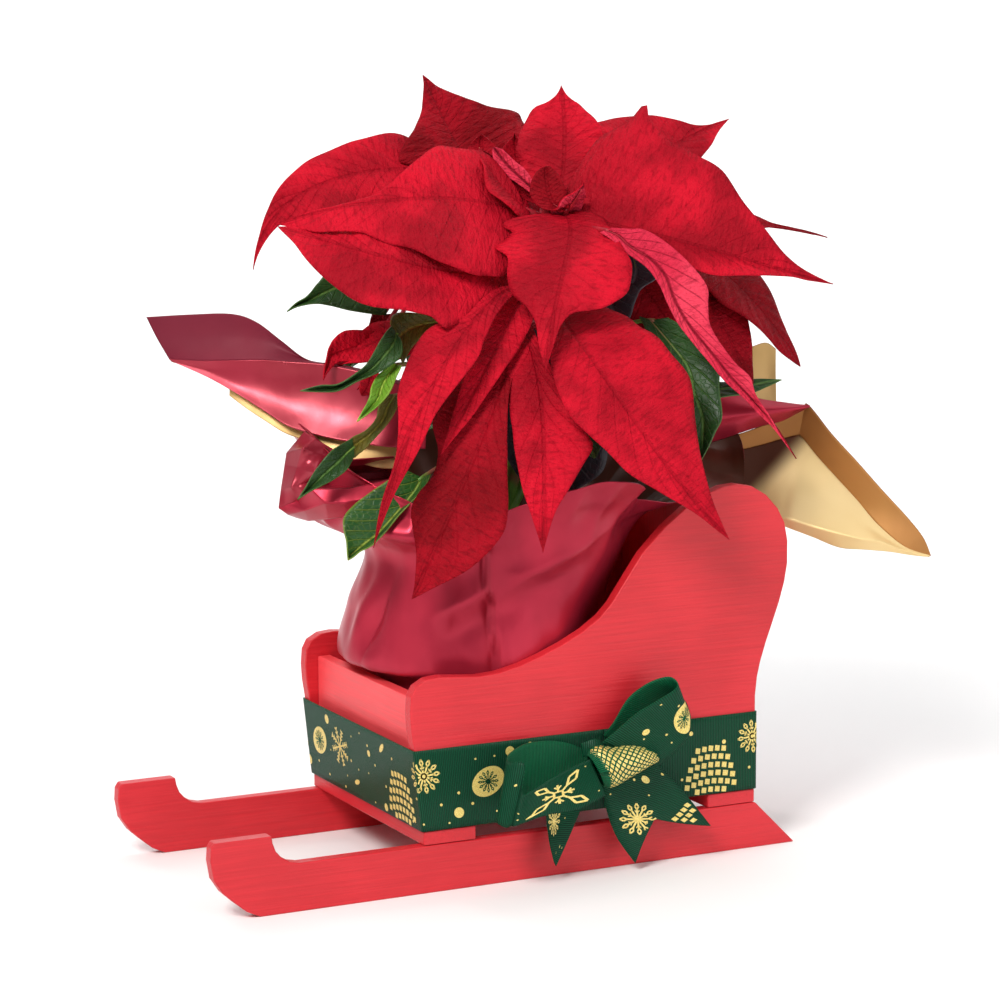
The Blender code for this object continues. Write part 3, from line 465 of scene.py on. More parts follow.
# The tops of the three blooms, and the bracts round each
MAIN_TOP = (190.0, 46.0, 312.0)
MAIN_BRACTS = (
    leaf(9, 54, 46, 62, -10, -3, 38, 0.25, 0, early=(1, 0), late=(1, 0), edge=(
        (0, 2, 2), (0.15, 14, 11), (0.45, 22, 19), (0.6, 22.5, 20), (0.74, 21, 16),
        (0.83, 17, 10), (0.88, 13, 7), (0.9, 8, 5), (0.94, 3, 2), (1, 0, 0))),
    leaf(4, -30, 134, -35, 5, -18, 92, 0.04, 52, fold=26, early=(0, -2), late=(-1, -2), edge=(
        (0, 12, 2), (0.05, 36, 4), (0.1, 46, 6), (0.16, 54, 8), (0.2, 63, 9), (0.23, 54, 11),
        (0.31, 48, 15), (0.38, 46, 16), (0.46, 45, 17), (0.52, 40, 17.5), (0.6, 30, 17),
        (0.7, 20, 12), (0.84, 7, 3), (0.92, 2.5, 1.5), (1, 0, 0))),
    leaf(6, 10, 112, 42, 0, 3, 52, 0.12, 45, edge=(
        (0, 2, 2), (0.2, 18, 12), (0.4, 29, 16), (0.47, 30, 16), (0.57, 27, 15), (0.67, 20, 14),
        (0.76, 12, 12), (0.83, 5, 9), (0.89, 2, 5), (0.94, 1, 2.5), (1, 0, 0))),
    leaf(8, 171, 130, 0, 11, 13, 58, 0.10, -55, wave=1.8, edge=(
        (0, 4, 4), (0.08, 24, 18), (0.15, 38, 27), (0.3, 41, 30), (0.42, 35, 22), (0.54, 26, 10),
        (0.63, 20, 4), (0.7, 15, 2.5), (0.78, 13, 1.5), (0.86, 11, 1.5), (0.92, 6, 1), (1, 0, 0))),
    leaf(8, -118, 66, -65, 21, 11, 64, 0.12, 0, early=(2, 1), late=(-3, 1), edge=(
        (0, 4, 8), (0.1, 12, 27), (0.2, 17, 32), (0.27, 18, 28), (0.38, 21, 31), (0.48, 27, 33),
        (0.55, 30.5, 28), (0.65, 31, 25), (0.71, 26, 23), (0.75, 20, 20), (0.78, 9, 14),
        (0.84, 4, 8), (0.92, 2, 5), (1, 0, 0))),
    leaf(28, 172, 130, 19, -8, 26, 58, 0.10, -55, wave=1.8, early=(0, -3), late=(0, 1), edge=(
        (0, 3, 3), (0.12, 8, 8), (0.22, 18, 11), (0.36, 27, 14), (0.42, 32, 14), (0.46, 27, 14),
        (0.52, 27, 13), (0.6, 29, 12), (0.68, 27, 12), (0.75, 23, 11), (0.82, 18, 9),
        (0.87, 14, 7), (0.93, 7, 4), (1, 0, 0))),
    leaf(50, -157, 122, -99, 47, 12, 32, 0.15, -40, early=(-1, 1), late=(-4, 2), edge=(
        (0, 1, 1), (0.3, 5, 4), (0.42, 8, 5), (0.47, 9, 11), (0.52, 11, 15), (0.58, 11, 16),
        (0.65, 9, 15), (0.71, 7, 13), (0.75, 6.5, 9), (0.8, 6, 4.5), (0.85, 4.5, 2),
        (0.92, 2, 2), (1, 0, 0))),
    leaf(54, -64, 103, -97, 33, -28, 54, 0.06, 30, early=(-1, 0), late=(-4, -3), edge=(
        (0, 1, 1), (0.15, 14, 8), (0.3, 26, 14), (0.4, 30, 19), (0.48, 34, 23), (0.57, 35.5, 25),
        (0.65, 35, 24), (0.71, 32, 21), (0.77, 26, 18), (0.83, 18, 12), (0.88, 12, 7),
        (0.93, 6, 3), (0.97, 2.5, 1.5), (1, 0, 0))),
    leaf(56, -119, 78, -98, 43, 3, 36, 0.08, 0, early=(-14, -5), late=(-1, -3), edge=(
        (0, 1, 1), (0.2, 3, 6), (0.34, 4, 10), (0.45, 5, 12), (0.55, 8, 14), (0.66, 13, 15),
        (0.74, 20, 14), (0.77, 22, 14), (0.81, 18, 13), (0.87, 11, 10), (0.92, 5, 6), (1, 0, 0))),
    leaf(58, -157, 97, -118, 35, 18, 44, 0.10, -27, early=(-7, 2), late=(0, -1), tone=2, edge=(
        (0, 1, 1), (0.2, 3, 8), (0.35, 4, 14), (0.46, 5, 18), (0.57, 10, 24), (0.63, 14, 25),
        (0.69, 18, 17), (0.75, 23, 15), (0.8, 27, 18), (0.84, 26, 18), (0.88, 22, 13),
        (0.92, 16, 7), (0.97, 6, 2), (1, 0, 0))),
    leaf(54, 168, 92, -32, 18, 0, 20, 0.30, -30),
    leaf(60, 160, 108, -18, 11, 0, 22, 0.50, -40),
    leaf(8, 152, 32, 33, -6, 10, 30, 0.25, -20),
    leaf(10, 100, 34, 30, -6, 0, 20, 0.25, 0),
    leaf(10, 20, 38, 26, -4, 0, 20, 0.25, 20),
    leaf(9, -80, 28, 18, -4, 0, 16, 0.28, 0),
    leaf(20, -153, 83, -91, 10, 7, 20, 0.20, -20),
)
REAR_TOP = (185.0, 105.0, 325.0)
REAR_BRACTS = (
    leaf(9, 121, 34, 54, -8, -5, 70, 0.22, -20, fold=12, tone=2, edge=(
        (0, 5, 5), (0.12, 26, 26), (0.3, 36, 40), (0.44, 39, 44), (0.52, 34, 39), (0.6, 27, 29),
        (0.69, 18, 20), (0.78, 10, 13), (0.88, 5, 6), (0.95, 2, 2.5), (1, 0, 0))),
    leaf(6, 176, 117, -39, 20, -3, 40, 0.12, -55, late=(-8, 7), edge=(
        (0, 3, 4), (0.18, 14, 19), (0.37, 18, 18), (0.5, 18, 16), (0.6, 17, 13.5), (0.69, 13, 10.5),
        (0.76, 9, 7.5), (0.82, 4, 5), (0.9, 2, 2), (1, 0, 0))),
    leaf(8, 75, 92, -30, 20, 0, 56, 0.12, 0),
    leaf(12, 120, 96, -48, 22, 0, 52, 0.12, -15),
    leaf(14, 28, 84, -42, 20, 0, 48, 0.14, 15),
)
RIGHT_TOP = (254.0, 71.0, 310.0)
RIGHT_BRACTS = (
    leaf(16, -27, 91, -3, 6, 0, 34, 0.15, 30, tone=2, wave=0.4, edge=(
        (0, 3, 3), (0.2, 13, 13), (0.45, 10, 10), (0.6, 4, 3), (0.68, 1.6, 1.4),
        (0.9, 0.7, 0.7), (1, 0, 0))),
    leaf(24, -41, 79, -56, 19, -7, 42, 0.15, 20, widest=0.45, tone=2),
    leaf(30, -64, 65, -58, 25, -6, 42, 0.15, 10, widest=0.5, tone=2),
    leaf(10, 35, 80, -38, 20, 0, 48, 0.12, 0),
    leaf(20, 88, 76, -60, 22, 0, 46, 0.14, -10),
    leaf(28, 14, 48, -44, 16, 0, 36, 0.16, 20),
)
# Leaves and bracts whose curl no plain midrib gives. A bract has how far below the bloom's top it
# starts, and a leaf has its stem and at which height it starts there, or none where a fold
# carries the leaf on. Then come the paint of the side that is seen, a leaf's pairs of veins, how
# far the rib lies behind the edges, and rows from root to tip. A row has how far one edge, the
# rib and the other edge are to the right of the pot's middle and above its rim, then how much
# nearer than it the edges are, all in millimetres. Where a tip is one point, it is given once.
BRACT_TOP, BRACT_UNDER, BRACT_SHADE = 0, 1, 2
# The slate paints are a green leaf's colour darkened to slate grey as painted shade, for leaves that
# lie in shade among the bracts.
DARK_LEAF, BRIGHT_LEAF, SHADE_SLATE_LEAF, OLIVE_LEAF, EDGED_LEAF = 0, 2, 4, 6, 8
SEEN_BRACTS = {
    "main": (
        (16, BRACT_UNDER, 2, (
            (52.5, 142, 55.5, 143, 58, 144, 62), (58.5, 138, 61, 140.5, 65, 143.5, 62.5),
            (64.5, 132.5, 66.5, 135.5, 73, 143, 63), (73.5, 126, 76, 129.5, 83, 137, 63.5),
            (79.5, 118, 82.5, 122, 93.5, 127.5, 64), (83.5, 109, 86, 112.5, 101.5, 117, 64.5),
            (87.5, 101, 90, 104.5, 102, 108, 65), (93, 93.5, 95.5, 96.5, 103.5, 98, 65),
            (102.5, 82, 105, 85, 113, 83.5, 65.5), (110, 73, 112, 76, 121, 75.5, 66),
            (118, 66, 119.5, 68, 123.5, 67.5, 66.5), (125.5, 58, 127, 60, 130, 57, 67),
            (132.5, 51, 133.5, 52.5, 134.5, 49, 67.5), (142, 38, 68))),
        (12, BRACT_SHADE, 3, (
            (47, 141.5, 56.5, 143, 65.5, 145.5, 24), (56, 120.5, 68, 126.5, 84.5, 134.5, 25),
            (64, 103, 80, 111, 98.5, 118, 26.5), (72.5, 92, 89, 97, 104.5, 103, 27.5),
            (84, 82.5, 96, 86, 104.5, 89.5, 29), (100.5, 73, 30))),
        (3, BRACT_SHADE, 2, (
            (42, 149.5, 42.5, 150.5, 43, 150.5, 34), (33, 153.5, 34.5, 154.5, 36, 155.5, 34),
            (21.5, 158.5, 25.5, 158.5, 30, 157.5, 34), (11.5, 163, 17, 163.5, 22.5, 163, 34),
            (5.5, 169.5, 10.5, 170, 15.5, 170, 34), (1, 176, 4.5, 177.5, 7.5, 178, 34),
            (-1.5, 183, 34))),
        (4, BRACT_UNDER, 2, (
            (35.5, 154.5, 36, 155, 36, 155.5, 38), (27.5, 157.5, 28.5, 158.5, 29.5, 158.5, 37.5),
            (22.5, 161.5, 24.5, 162, 26, 162.5, 37.5), (17, 165.5, 20, 166.5, 23, 166.5, 37),
            (10.5, 170, 14.5, 171.5, 19, 173, 37), (6, 174, 9.5, 176.5, 13, 178, 36.5),
            (3.5, 179.5, 6, 181, 8, 182.5, 36.5), (3.5, 184, 3.5, 184, 4, 184, 36))),
        (4, BRACT_SHADE, 2, (
            (36, 153, 37, 154, 38.5, 154.5, 46), (26, 154.5, 32, 156.5, 38.5, 158.5, 45),
            (21, 160, 29.5, 161.5, 37.5, 163, 44.5), (21, 166, 28.5, 167, 35.5, 167.5, 43.5),
            (23.5, 171.5, 28, 172, 33, 171.5, 43), (27, 174, 28.5, 174.5, 30, 174.5, 42))),
    ),
    "rear": (
        (9, BRACT_TOP, 2, (
            (-51, 98.5, -52, 93.5, -51, 86, 26), (-57.5, 99, -56.5, 92, -55.5, 84.5, 29),
            (-65.5, 98.5, -64, 89.5, -61, 84, 32), (-70.5, 95, -69, 87.5, -66.5, 84, 35),
            (-73, 90.5, -72, 86, -70, 82.5, 38), (-74, 85, -73.5, 82, -72.5, 79.5, 41),
            (-75, 79.5, -74.5, 78.5, -74, 77.5, 44), (-75, 75, 47))),
        (6, BRACT_SHADE, 1, (
            (-54.5, 108, -49, 108, -43, 108, 4), (-55.5, 103.5, -49.5, 103, -43.5, 102.5, 6.5),
            (-56.5, 100, -51, 98.5, -45.5, 97, 9.5), (-56.5, 97.5, -52, 96, -47, 94.5, 12))),
        (6, BRACT_SHADE, 1, (
            (-55.5, 80.5, -52.5, 80.5, -49.5, 80.5, 44), (-57.5, 76, -53.5, 73.5, -49.5, 71, 45),
            (-58.5, 71, -55, 70, -51.5, 68.5, 46), (-57.5, 67.5, -57, 67.5, -56, 67.5, 47))),
        (6, BRACT_SHADE, 2, (
            (2, 174.5, 3, 175, 4, 175, -8), (-7.5, 179, -0.5, 181, 7, 182, -9),
            (-9.5, 186.5, -2, 188, 5.5, 189, -10), (-7, 191.5, -2.5, 192.5, 1.5, 193, -11),
            (-2.5, 196, -2, 196, -2, 196, -12))),
        (8, BRACT_SHADE, 2, (
            (17.5, 162, 18.5, 162, 19.5, 162, -14), (6, 169, 16.5, 169, 27, 168, -14.5),
            (5, 181, 15.5, 180, 26, 179, -15), (8, 189.5, 14.5, 189, 21.5, 187.5, -15),
            (12.5, 194.5, 14, 194.5, 15.5, 194.5, -15.5), (13.5, 197, 14, 197, 14, 197, -16))),
    ),
    "right": (),
}
SEEN_LEAVES = (
    ("rear", 250, DARK_LEAF, 9, 3, (
        (-46.5, 120, -46.5, 114.5, -47.5, 107, 10), (-59.5, 125.5, -59, 118, -54, 107.5, 12.5),
        (-73.5, 127, -70, 120, -64.5, 109, 14.5), (-79.5, 122, -76.5, 117.5, -73, 111, 17),
        (-84.5, 115.5, -83, 114, -80.5, 112, 19.5), (-89.5, 112, -89, 111.5, -88.5, 110.5, 21.5),
        (-93.5, 108, 24))),
    ("main", 244, OLIVE_LEAF, 4, 2, (
        (-19, 106.5, -19, 102.5, -19, 98, 44), (-28, 105.5, -27.5, 101, -26.5, 96.5, 46.5),
        (-36, 106, -34, 99, -32, 92, 49), (-41.5, 105.5, -38.5, 96, -36, 86.5, 51),
        (-43.5, 102.5, -40.5, 93, -37.5, 83, 53.5), (-43.5, 98.5, -41, 90.5, -38.5, 82.5, 56))),
    ("main", None, DARK_LEAF, 7, 3, (
        (-43, 99, -41, 96, -38.5, 92.5, 60), (-46, 95.5, -42, 91.5, -38, 87, 61),
        (-49.5, 90, -45.5, 86.5, -41, 82.5, 62.5), (-54.5, 81.5, -52, 79.5, -49, 77.5, 63.5),
        (-61.5, 75.5, -60, 74.5, -58.5, 73.5, 64.5), (-68, 72, -67.5, 71, -66, 69.5, 65.5),
        (-76, 71.5, -75, 70, -73, 68.5, 67), (-84.5, 69, 68))),
    ("main", 232, BRIGHT_LEAF, 7, 3, (
        (-42, 82, -40.5, 81.5, -38.5, 81, 58), (-49, 77, -45, 76, -41, 75, 60),
        (-52, 71.5, -47.5, 71, -43, 70, 62), (-53, 66.5, -49, 66, -45.5, 66, 64),
        (-55.5, 61, -53, 61, -50.5, 61, 66), (-58.5, 55, 68))),
    ("main", 222, OLIVE_LEAF, 4, 2, (
        (-45, 68.5, -42, 67.5, -38.5, 66.5, 48), (-49, 63, -45, 62.5, -41, 61.5, 51),
        (-50.5, 57, -47.5, 56, -44.5, 55, 53.5), (-55, 51.5, -52.5, 50, -50, 48.5, 56.5),
        (-61, 48, -58.5, 45.5, -55.5, 42.5, 59), (-63.5, 46, -62, 42.5, -60, 38.5, 62))),
    ("main", None, DARK_LEAF, 8, 3, (
        (-61, 47.5, -60.5, 43.5, -60, 40, 64), (-66, 44.5, -63.5, 40.5, -61, 36.5, 68),
        (-70.5, 41, -67, 36.5, -63.5, 32.5, 72), (-77, 33, -73.5, 30.5, -69.5, 28, 76),
        (-81.5, 24.5, -80, 24, -78.5, 23.5, 80), (-84.5, 19.5, 84))),
    ("main", 206, EDGED_LEAF, 10, 3, (
        (-37, 33, -29, 29.5, -25, 31, 58), (-43.5, 29, -32.5, 23, -28, 24.5, 61),
        (-53, 22.5, -38, 16, -33.5, 18.5, 63.5), (-60, 17, -43.5, 9.5, -40, 11.5, 66),
        (-64.5, 11.5, -49, 3.5, -45.5, 4.5, 69), (-64.5, 6, -54.5, -0.5, -51.5, -1.5, 72),
        (-63, 0.5, -58.5, -4, -56.5, -4, 74.5), (-62.5, -4.5, -61.5, -6.5, -59.5, -6.5, 77),
        (-62, -8, 80))),
    ("main", 240, DARK_LEAF, 10, 3, (
        (72, 105, 77, 103.5, 85.5, 104.5, 34), (77, 94, 87, 91.5, 101, 94, 36.5),
        (81.5, 82, 94.5, 81, 108.5, 82, 38.5), (85, 70.5, 97.5, 68.5, 109, 70.5, 41),
        (90.5, 58.5, 101, 57.5, 110, 58, 43), (95, 49.5, 101, 48, 106.5, 50.5, 45.5),
        (98, 43.5, 100.5, 42.5, 103.5, 44, 47.5), (99.5, 37, 50))),
    ("main", 236, SHADE_SLATE_LEAF, 9, 3, (
        (23.5, 105, 26.5, 105, 29.5, 105, 22), (13.5, 92, 25.5, 92.5, 38, 92, 25),
        (7.5, 73, 29, 72, 50, 71, 28), (7, 54.5, 31.5, 53, 56.5, 52, 31),
        (10.5, 38, 33, 36, 55.5, 34, 34), (20, 25.5, 32, 25.5, 44, 25, 37),
        (33, 19, 33.5, 19, 34, 19, 40))),
    ("main", 248, SHADE_SLATE_LEAF, 7, 4, (
        (65, 142.5, 67.5, 136.5, 73, 136, 34), (63.5, 130.5, 70.5, 127, 78, 129.5, 35.5),
        (59, 122, 68.5, 120.5, 80.5, 123.5, 37.5), (53.5, 115, 63, 116.5, 73, 118, 39),
        (47.5, 109.5, 59, 110.5, 70, 112.5, 40.5), (52.5, 105, 61, 105.5, 67.5, 104.5, 42.5),
        (64.5, 100, 44))),
)
# Each bloom's name, top, bracts and the length of its own red stem
BLOOMS = (("main", MAIN_TOP, MAIN_BRACTS, 62.0), ("rear", REAR_TOP, REAR_BRACTS, 22.0),
          ("right", RIGHT_TOP, RIGHT_BRACTS, 42.0))
BLOOM_STEM_RADII = (3.4, 3.2, 3.6)
STEM_RADII = (4.8, 4.8, 4.4, 3.8, 3.4)
BRANCH_RADII = (3.6, 3.4, 3.2, 3.0)
STEMS = {
    "main": ((168, 64, 118), (168, 64, 148), (178, 60, 182), (188, 50, 225), (190, 46, 249)),
    "rear": ((171, 63, 158), (173, 76, 200), (182, 96, 255), (185, 105, 302)),
    "right": ((174, 61, 160), (205, 66, 205), (245, 70, 245), (254, 71, 266)),
}
# Plain green leaves: their stem and the height at which they start there
GREEN_LEAVES = (
    ("main", 222, leaf(0, -19, 118, 3, -4, -5, 16, 0.30, 30, widest=0.45)),
    ("main", 217, leaf(0, -90, 60, -20, 11, -1, 26, 0.20, 0, widest=0.5)),
    ("rear", 235, leaf(0, 95, 74, -14, 14, 0, 36, 0.25, 0)),
    ("rear", 215, leaf(0, 140, 78, -12, 14, 0, 34, 0.25, 0)),
    ("right", 225, leaf(0, 60, 50, -8, 8, 0, 30, 0.25, 0)),
    ("rear", 262, leaf(0, 70, 82, -28, 16, 4, 38, 0.25, 0)),
    ("rear", 248, leaf(0, 128, 84, -30, 18, -4, 38, 0.25, 0)),
    ("rear", 222, leaf(0, 48, 62, -18, 16, 0, 32, 0.25, 0)),
    ("main", 196, leaf(0, 165, 66, 2, 10, 0, 30, 0.30, 0)),
    ("right", 236, leaf(0, 20, 46, -10, 12, 0, 28, 0.25, 0)),
    ("right", 250, leaf(0, 100, 66, -30, 16, 0, 34, 0.25, 0)),
)


# How blunt a plain blade's root is: one would be a straight wedge
ROOT_POWER = 0.75
# One over the greatest value that s * (1 - s) ** 3 has, at a quarter
PEAK = 9.48
# How far the side veins sweep towards the tip, as a share of the blade, and their pairs
SLANT = 0.18
VEIN_PAIRS = 11
LEAF_PAIRS = 9
# A plain blade's drooping edges, the waves along its edges, and its cells' height in millimetres
DROOP = 0.12
WAVE_BEATS = 2.3
PUFF = 0.6
# How far a plain blade reaches from its rib, and a seen one's point lies from it, where waves and
# cells have their full height; they fade out where it is less
FADE_HALF = 9.0
SEEN_FADE = 6.0
# A seen blade's cells, the crown of its halves, and the height and number of its edges' waves
SEEN_PUFF = 0.35
SEEN_CROWN = 0.225
SEEN_WAVE = 0.8
SEEN_BEATS = 1.9
# The sheet of a blade, its stalk's radius and what is left of that at the tip, in millimetres
BLADE_THICK = 0.6
STALK_RADIUS = 1.3
RIB_TIP_RADIUS = 0.22


def half_width(share, width, widest):
    """Half the width of an oval, pointed blade at a share of its length."""
    tip_power = ROOT_POWER * (1 - widest) / widest
    full = widest ** ROOT_POWER * (1 - widest) ** tip_power
    return 0.5 * width * share ** ROOT_POWER * (1 - share) ** tip_power / full


def rib_line(root, values, share):
    """Points of the midrib and its direction at shares that count the stalk too."""
    turn = math.radians(values["heading"])
    out = np.array([math.cos(turn), math.sin(turn), 0.0])
    left = np.array([-math.sin(turn), math.cos(turn), 0.0])
    tip = out * values["reach"] + np.array([0.0, 0.0, values["rise"]])
    bulge = left * values["side"] + np.array([0.0, 0.0, values["bow"]])
    share = np.asarray(share, float)[:, None]
    points = np.asarray(root) + tip * share + bulge * 4 * share * (1 - share)
    for key, weight in (("early", share * (1 - share) ** 3), ("late", share ** 3 * (1 - share))):
        right, up = values[key]
        points = points + PEAK * weight * (VIEW_RIGHT * right + VIEW_UP * up)
    return points, unit(tip + bulge * 4 * (1 - 2 * share)), left


def blade_frame(root, values, share):
    """The midrib at shares of the blade, with the across and up directions there."""
    whole = values["stalk"] + (1 - values["stalk"]) * share
    points, along, left = rib_line(root, values, whole)
    flat = unit(left - along * (along @ left)[:, None])
    above = np.cross(along, flat)
    turn = math.radians(values["roll"])
    across = flat * math.cos(turn) + above * math.sin(turn)
    return points, across, above * math.cos(turn) - flat * math.sin(turn)


def blade_edges(values, share, side):
    """How far the blade reaches from its midrib, on the side that each column is on."""
    if not values["edge"]:
        return half_width(share, values["width"], values["widest"])[:, None]
    rows = smooth_rows(values["edge"], 160)
    rows[:, 0] = np.maximum.accumulate(rows[:, 0])
    plus, minus = [np.maximum(np.interp(share, rows[:, 0], rows[:, k]), 0.0) for k in (1, 2)]
    return np.where(side > 0, plus[:, None], minus[:, None])


def add_sheet(pile, spots, rib, share, side, out, paint, flipped):
    """Adds a blade's grid of places with its uv maps: shares of it, and sizes in 100 mm."""
    steps = np.linalg.norm(np.diff(rib, axis=0), axis=1)
    along = np.concatenate([[0], np.cumsum(steps)])
    uv = np.stack(np.broadcast_arrays(share[:, None], 0.5 + side / 2), axis=-1)
    size = np.stack([np.broadcast_to(along[:, None], out.shape), np.sign(side) * out], axis=-1)
    faces = grid_faces(*out.shape)
    pile.add(spots, faces[:, ::-1] if flipped else faces, uv, size / 100.0, paint)


def add_blade(pile, root, values, pairs, fine, seed):
    """A leaf's blade as one open sheet, with waved edges and puffed cells between its veins."""
    rng = np.random.default_rng(seed)
    share = np.linspace(0, 1, fine * 3 + 1)
    share = 0.5 * share + 0.5 * (1 - (1 - share) ** 1.3)
    side = np.linspace(-1, 1, fine + 1 + fine % 2)
    points, across, up = blade_frame(root, values, share)
    half = blade_edges(values, share, side)
    notch = rng.uniform(0, math.tau, 4)
    for k, size in enumerate((0.020, 0.014)):
        wobble = np.sin(share * math.tau * (3.1 + 2.7 * k) + notch[k])[:, None]
        other = np.sin(share * math.tau * (3.7 + 2.3 * k) + notch[k + 2])[:, None]
        half = half * (1 + size * np.where(side < 0, wobble, other))
    out = np.abs(side) * half
    lift = math.radians(values["fold"])
    high = out * math.sin(lift) - DROOP * out * np.abs(side) ** 2
    phase = math.tau * (WAVE_BEATS * share[:, None] + 0.27 * (side > 0)) + notch[0]
    fade = np.minimum(1.0, half / FADE_HALF)
    high = high + values["wave"] * side ** 2 * np.sin(phase) * fade
    cell = (share[:, None] - SLANT * np.abs(side) ** 0.8) * pairs
    puff = -np.cos(math.tau * (cell - 0.5)) * np.abs(side) ** 0.5 * (1 - side ** 4)
    high = high - PUFF * puff * fade
    spots = points[:, None] + across[:, None] * (np.sign(side) * out * math.cos(lift))[..., None]
    spots = spots + up[:, None] * high[..., None]
    add_sheet(pile, spots, points, share, side, out, values["tone"], True)


def seen_rows(rows, hollow):
    """Rows of a seen blade as places, with the rib behind the edges but for the last row."""
    full = [row if len(row) == 7 else (*row[:2] * 3, row[2]) for row in rows]
    places = np.array(full, float)[:, [0, 1, 6, 2, 3, 6, 4, 5, 6]].reshape(-1, 3, 3)
    places[:-1, 1, 2] -= hollow
    return places


def add_seen_blade(blades, stalks, root, rows, hollow, pairs, paint, seed):
    """A blade through rows of edge, rib and edge, with the side that is seen in its paint.

    Root is where its stalk leaves the stem, or None where a fold carries the leaf on.
    """
    rng = np.random.default_rng(seed)
    count = 6 * len(rows) + 1
    line = smooth_rows(seen_rows(rows, hollow), count) @ VIEW_AXES + WING_MIDDLE
    share = np.linspace(0, 1, count)
    side = np.linspace(-1, 1, 13)
    edge = np.where(side[None, :, None] < 0, line[:, :1], line[:, 2:])
    rib = line[:, 1:2]
    spots = rib + (edge - rib) * np.abs(side)[None, :, None]
    out = np.linalg.norm(edge - rib, axis=-1) * np.abs(side)
    bend = np.cos(math.tau * (share[:, None] - SLANT * np.abs(side) ** 0.8) * pairs)
    fade = np.minimum(1.0, out / SEEN_FADE)
    crown = SEEN_CROWN * out * np.abs(side) * (1 - np.abs(side))
    lift = SEEN_PUFF * bend * fade * (1 - side ** 4) + crown
    wave = np.sin(math.tau * SEEN_BEATS * share[:, None] + rng.uniform(0, math.tau))
    lift = lift + SEEN_WAVE * side ** 2 * wave * fade
    spots = spots + VIEW_NEAR * lift[..., None]
    flipped = np.mean(grid_normals(spots) @ VIEW_NEAR) < 0
    add_sheet(blades, spots, rib[:, 0], share, side, out, paint, flipped)
    ribs = rib[:int(count * 0.92), 0] - VIEW_NEAR * 0.5
    add_tube(stalks, ribs, np.linspace(1.0, 0.25, len(ribs)), 8)
    if root is not None:
        start = np.asarray(root, float)
        way = smooth_rows([start, start * 0.55 + ribs[0] * 0.45 + (0, 0, 3), ribs[0], ribs[3]], 16)
        add_tube(stalks, way[:12], np.full(12, 1.1), 8)


def add_stalk(pile, root, values):
    """The bare stalk, and the rib that it becomes under the blade."""
    share = np.linspace(0, 0.93, 26)
    bare = values["stalk"]
    on_blade = np.clip((share - bare) / (1 - bare), 0, 1)
    points, _, _ = rib_line(root, values, share)
    _, _, up = blade_frame(root, values, on_blade)
    radii = STALK_RADIUS * (1 - on_blade) ** 0.8 * np.where(share < bare, 1.0, 0.8) + RIB_TIP_RADIUS
    drop = np.minimum(on_blade * 8, 1.0) * (radii * 0.75 + 0.1)
    add_tube(pile, points - up * drop[:, None], radii, 8)


def build_bloom(name, top, bracts, depth, paints):
    """One bloom: its bracts as thin blades, and its red stem with their stalks."""
    blades, stalks = Pile(), Pile()
    x, y, z = top
    line = smooth_rows([(x, y, z - depth), (x, y, z - depth / 2), (x, y, z)], 12)
    add_tube(stalks, line, smooth_rows(BLOOM_STEM_RADII, 12), 14)
    for index, values in enumerate(bracts):
        root = (x, y, z - values["at"])
        fine = 20 if values["width"] > 30 else 12
        add_blade(blades, root, values, VEIN_PAIRS, fine, index)
        add_stalk(stalks, root, values)
    for index, (drop, paint, hollow, rows) in enumerate(SEEN_BRACTS[name]):
        add_seen_blade(blades, stalks, (x, y, z - drop), rows, hollow, VEIN_PAIRS, paint,
                       40 + index)
    piece = thicken(blades.piece("bracts_" + name, paints["bract"]), BLADE_THICK)
    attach(piece, "root")
    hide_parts("bloom_" + name)
    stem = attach(stalks.piece("bract_stalks_" + name, [paints["red_stem"]]), "root")


def stem_point(name, level):
    """The middle of a stem at a height."""
    heights = [p[2] for p in STEMS[name]]
    return [float(np.interp(level, heights, [p[k] for p in STEMS[name]])) for k in range(3)]


def build_leaves(paints):
    """The green leaves as thin blades, and the branching stem that they grow from."""
    blades, stalks = Pile(), Pile()
    for name, radii in (("main", STEM_RADII), ("rear", BRANCH_RADII), ("right", BRANCH_RADII)):
        add_tube(stalks, smooth_rows(STEMS[name], 40), smooth_rows(radii, 40), 16)
    for index, (name, level, values) in enumerate(GREEN_LEAVES):
        root = stem_point(name, level)
        add_blade(blades, root, values, LEAF_PAIRS, 14, 100 + index)
        add_stalk(stalks, root, values)
    for index, (name, level, paint, pairs, hollow, rows) in enumerate(SEEN_LEAVES):
        root = None if level is None else stem_point(name, level)
        add_seen_blade(blades, stalks, root, rows, hollow, pairs, paint, 140 + index)
    piece = thicken(blades.piece("green_leaves", paints["leaf"]), BLADE_THICK)
    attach(piece, "root")
    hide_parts("leafy_stems")
    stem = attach(stalks.piece("green_stems", [paints["green_stem"]]), "root")


# Buds

# Each bud's distance from the bloom's middle, its turn about it in degrees and its height
BUDS = ((0.0, 0, 8.0), (3.6, 20, 6.0), (3.8, 95, 6.6), (3.6, 160, 5.8), (3.8, 230, 6.4),
        (3.6, 305, 6.0))
# One bud's outline as (radius, height), from its foot over its rim and into its mouth
BUD_OUTLINE = ((0, -2.9), (1.2, -2.6), (1.75, -2.1), (2.05, -1.5), (2.2, -0.9), (2.25, -0.2),
               (2.25, 0.5), (2.2, 1.2), (2.05, 1.8), (1.8, 2.3), (1.45, 2.7), (1.05, 2.95),
               (0.9, 3.0), (0.5, 2.6), (0, 2.5))
BUD_SIDES = 18
BUD_LEAN = 0.25
BUD_STALK_RADII = (2.6, 3.0, 3.2, 3.2, 3.1, 2.6)
THREAD_RADII = (0.22, 0.2, 0.2, 0.3)


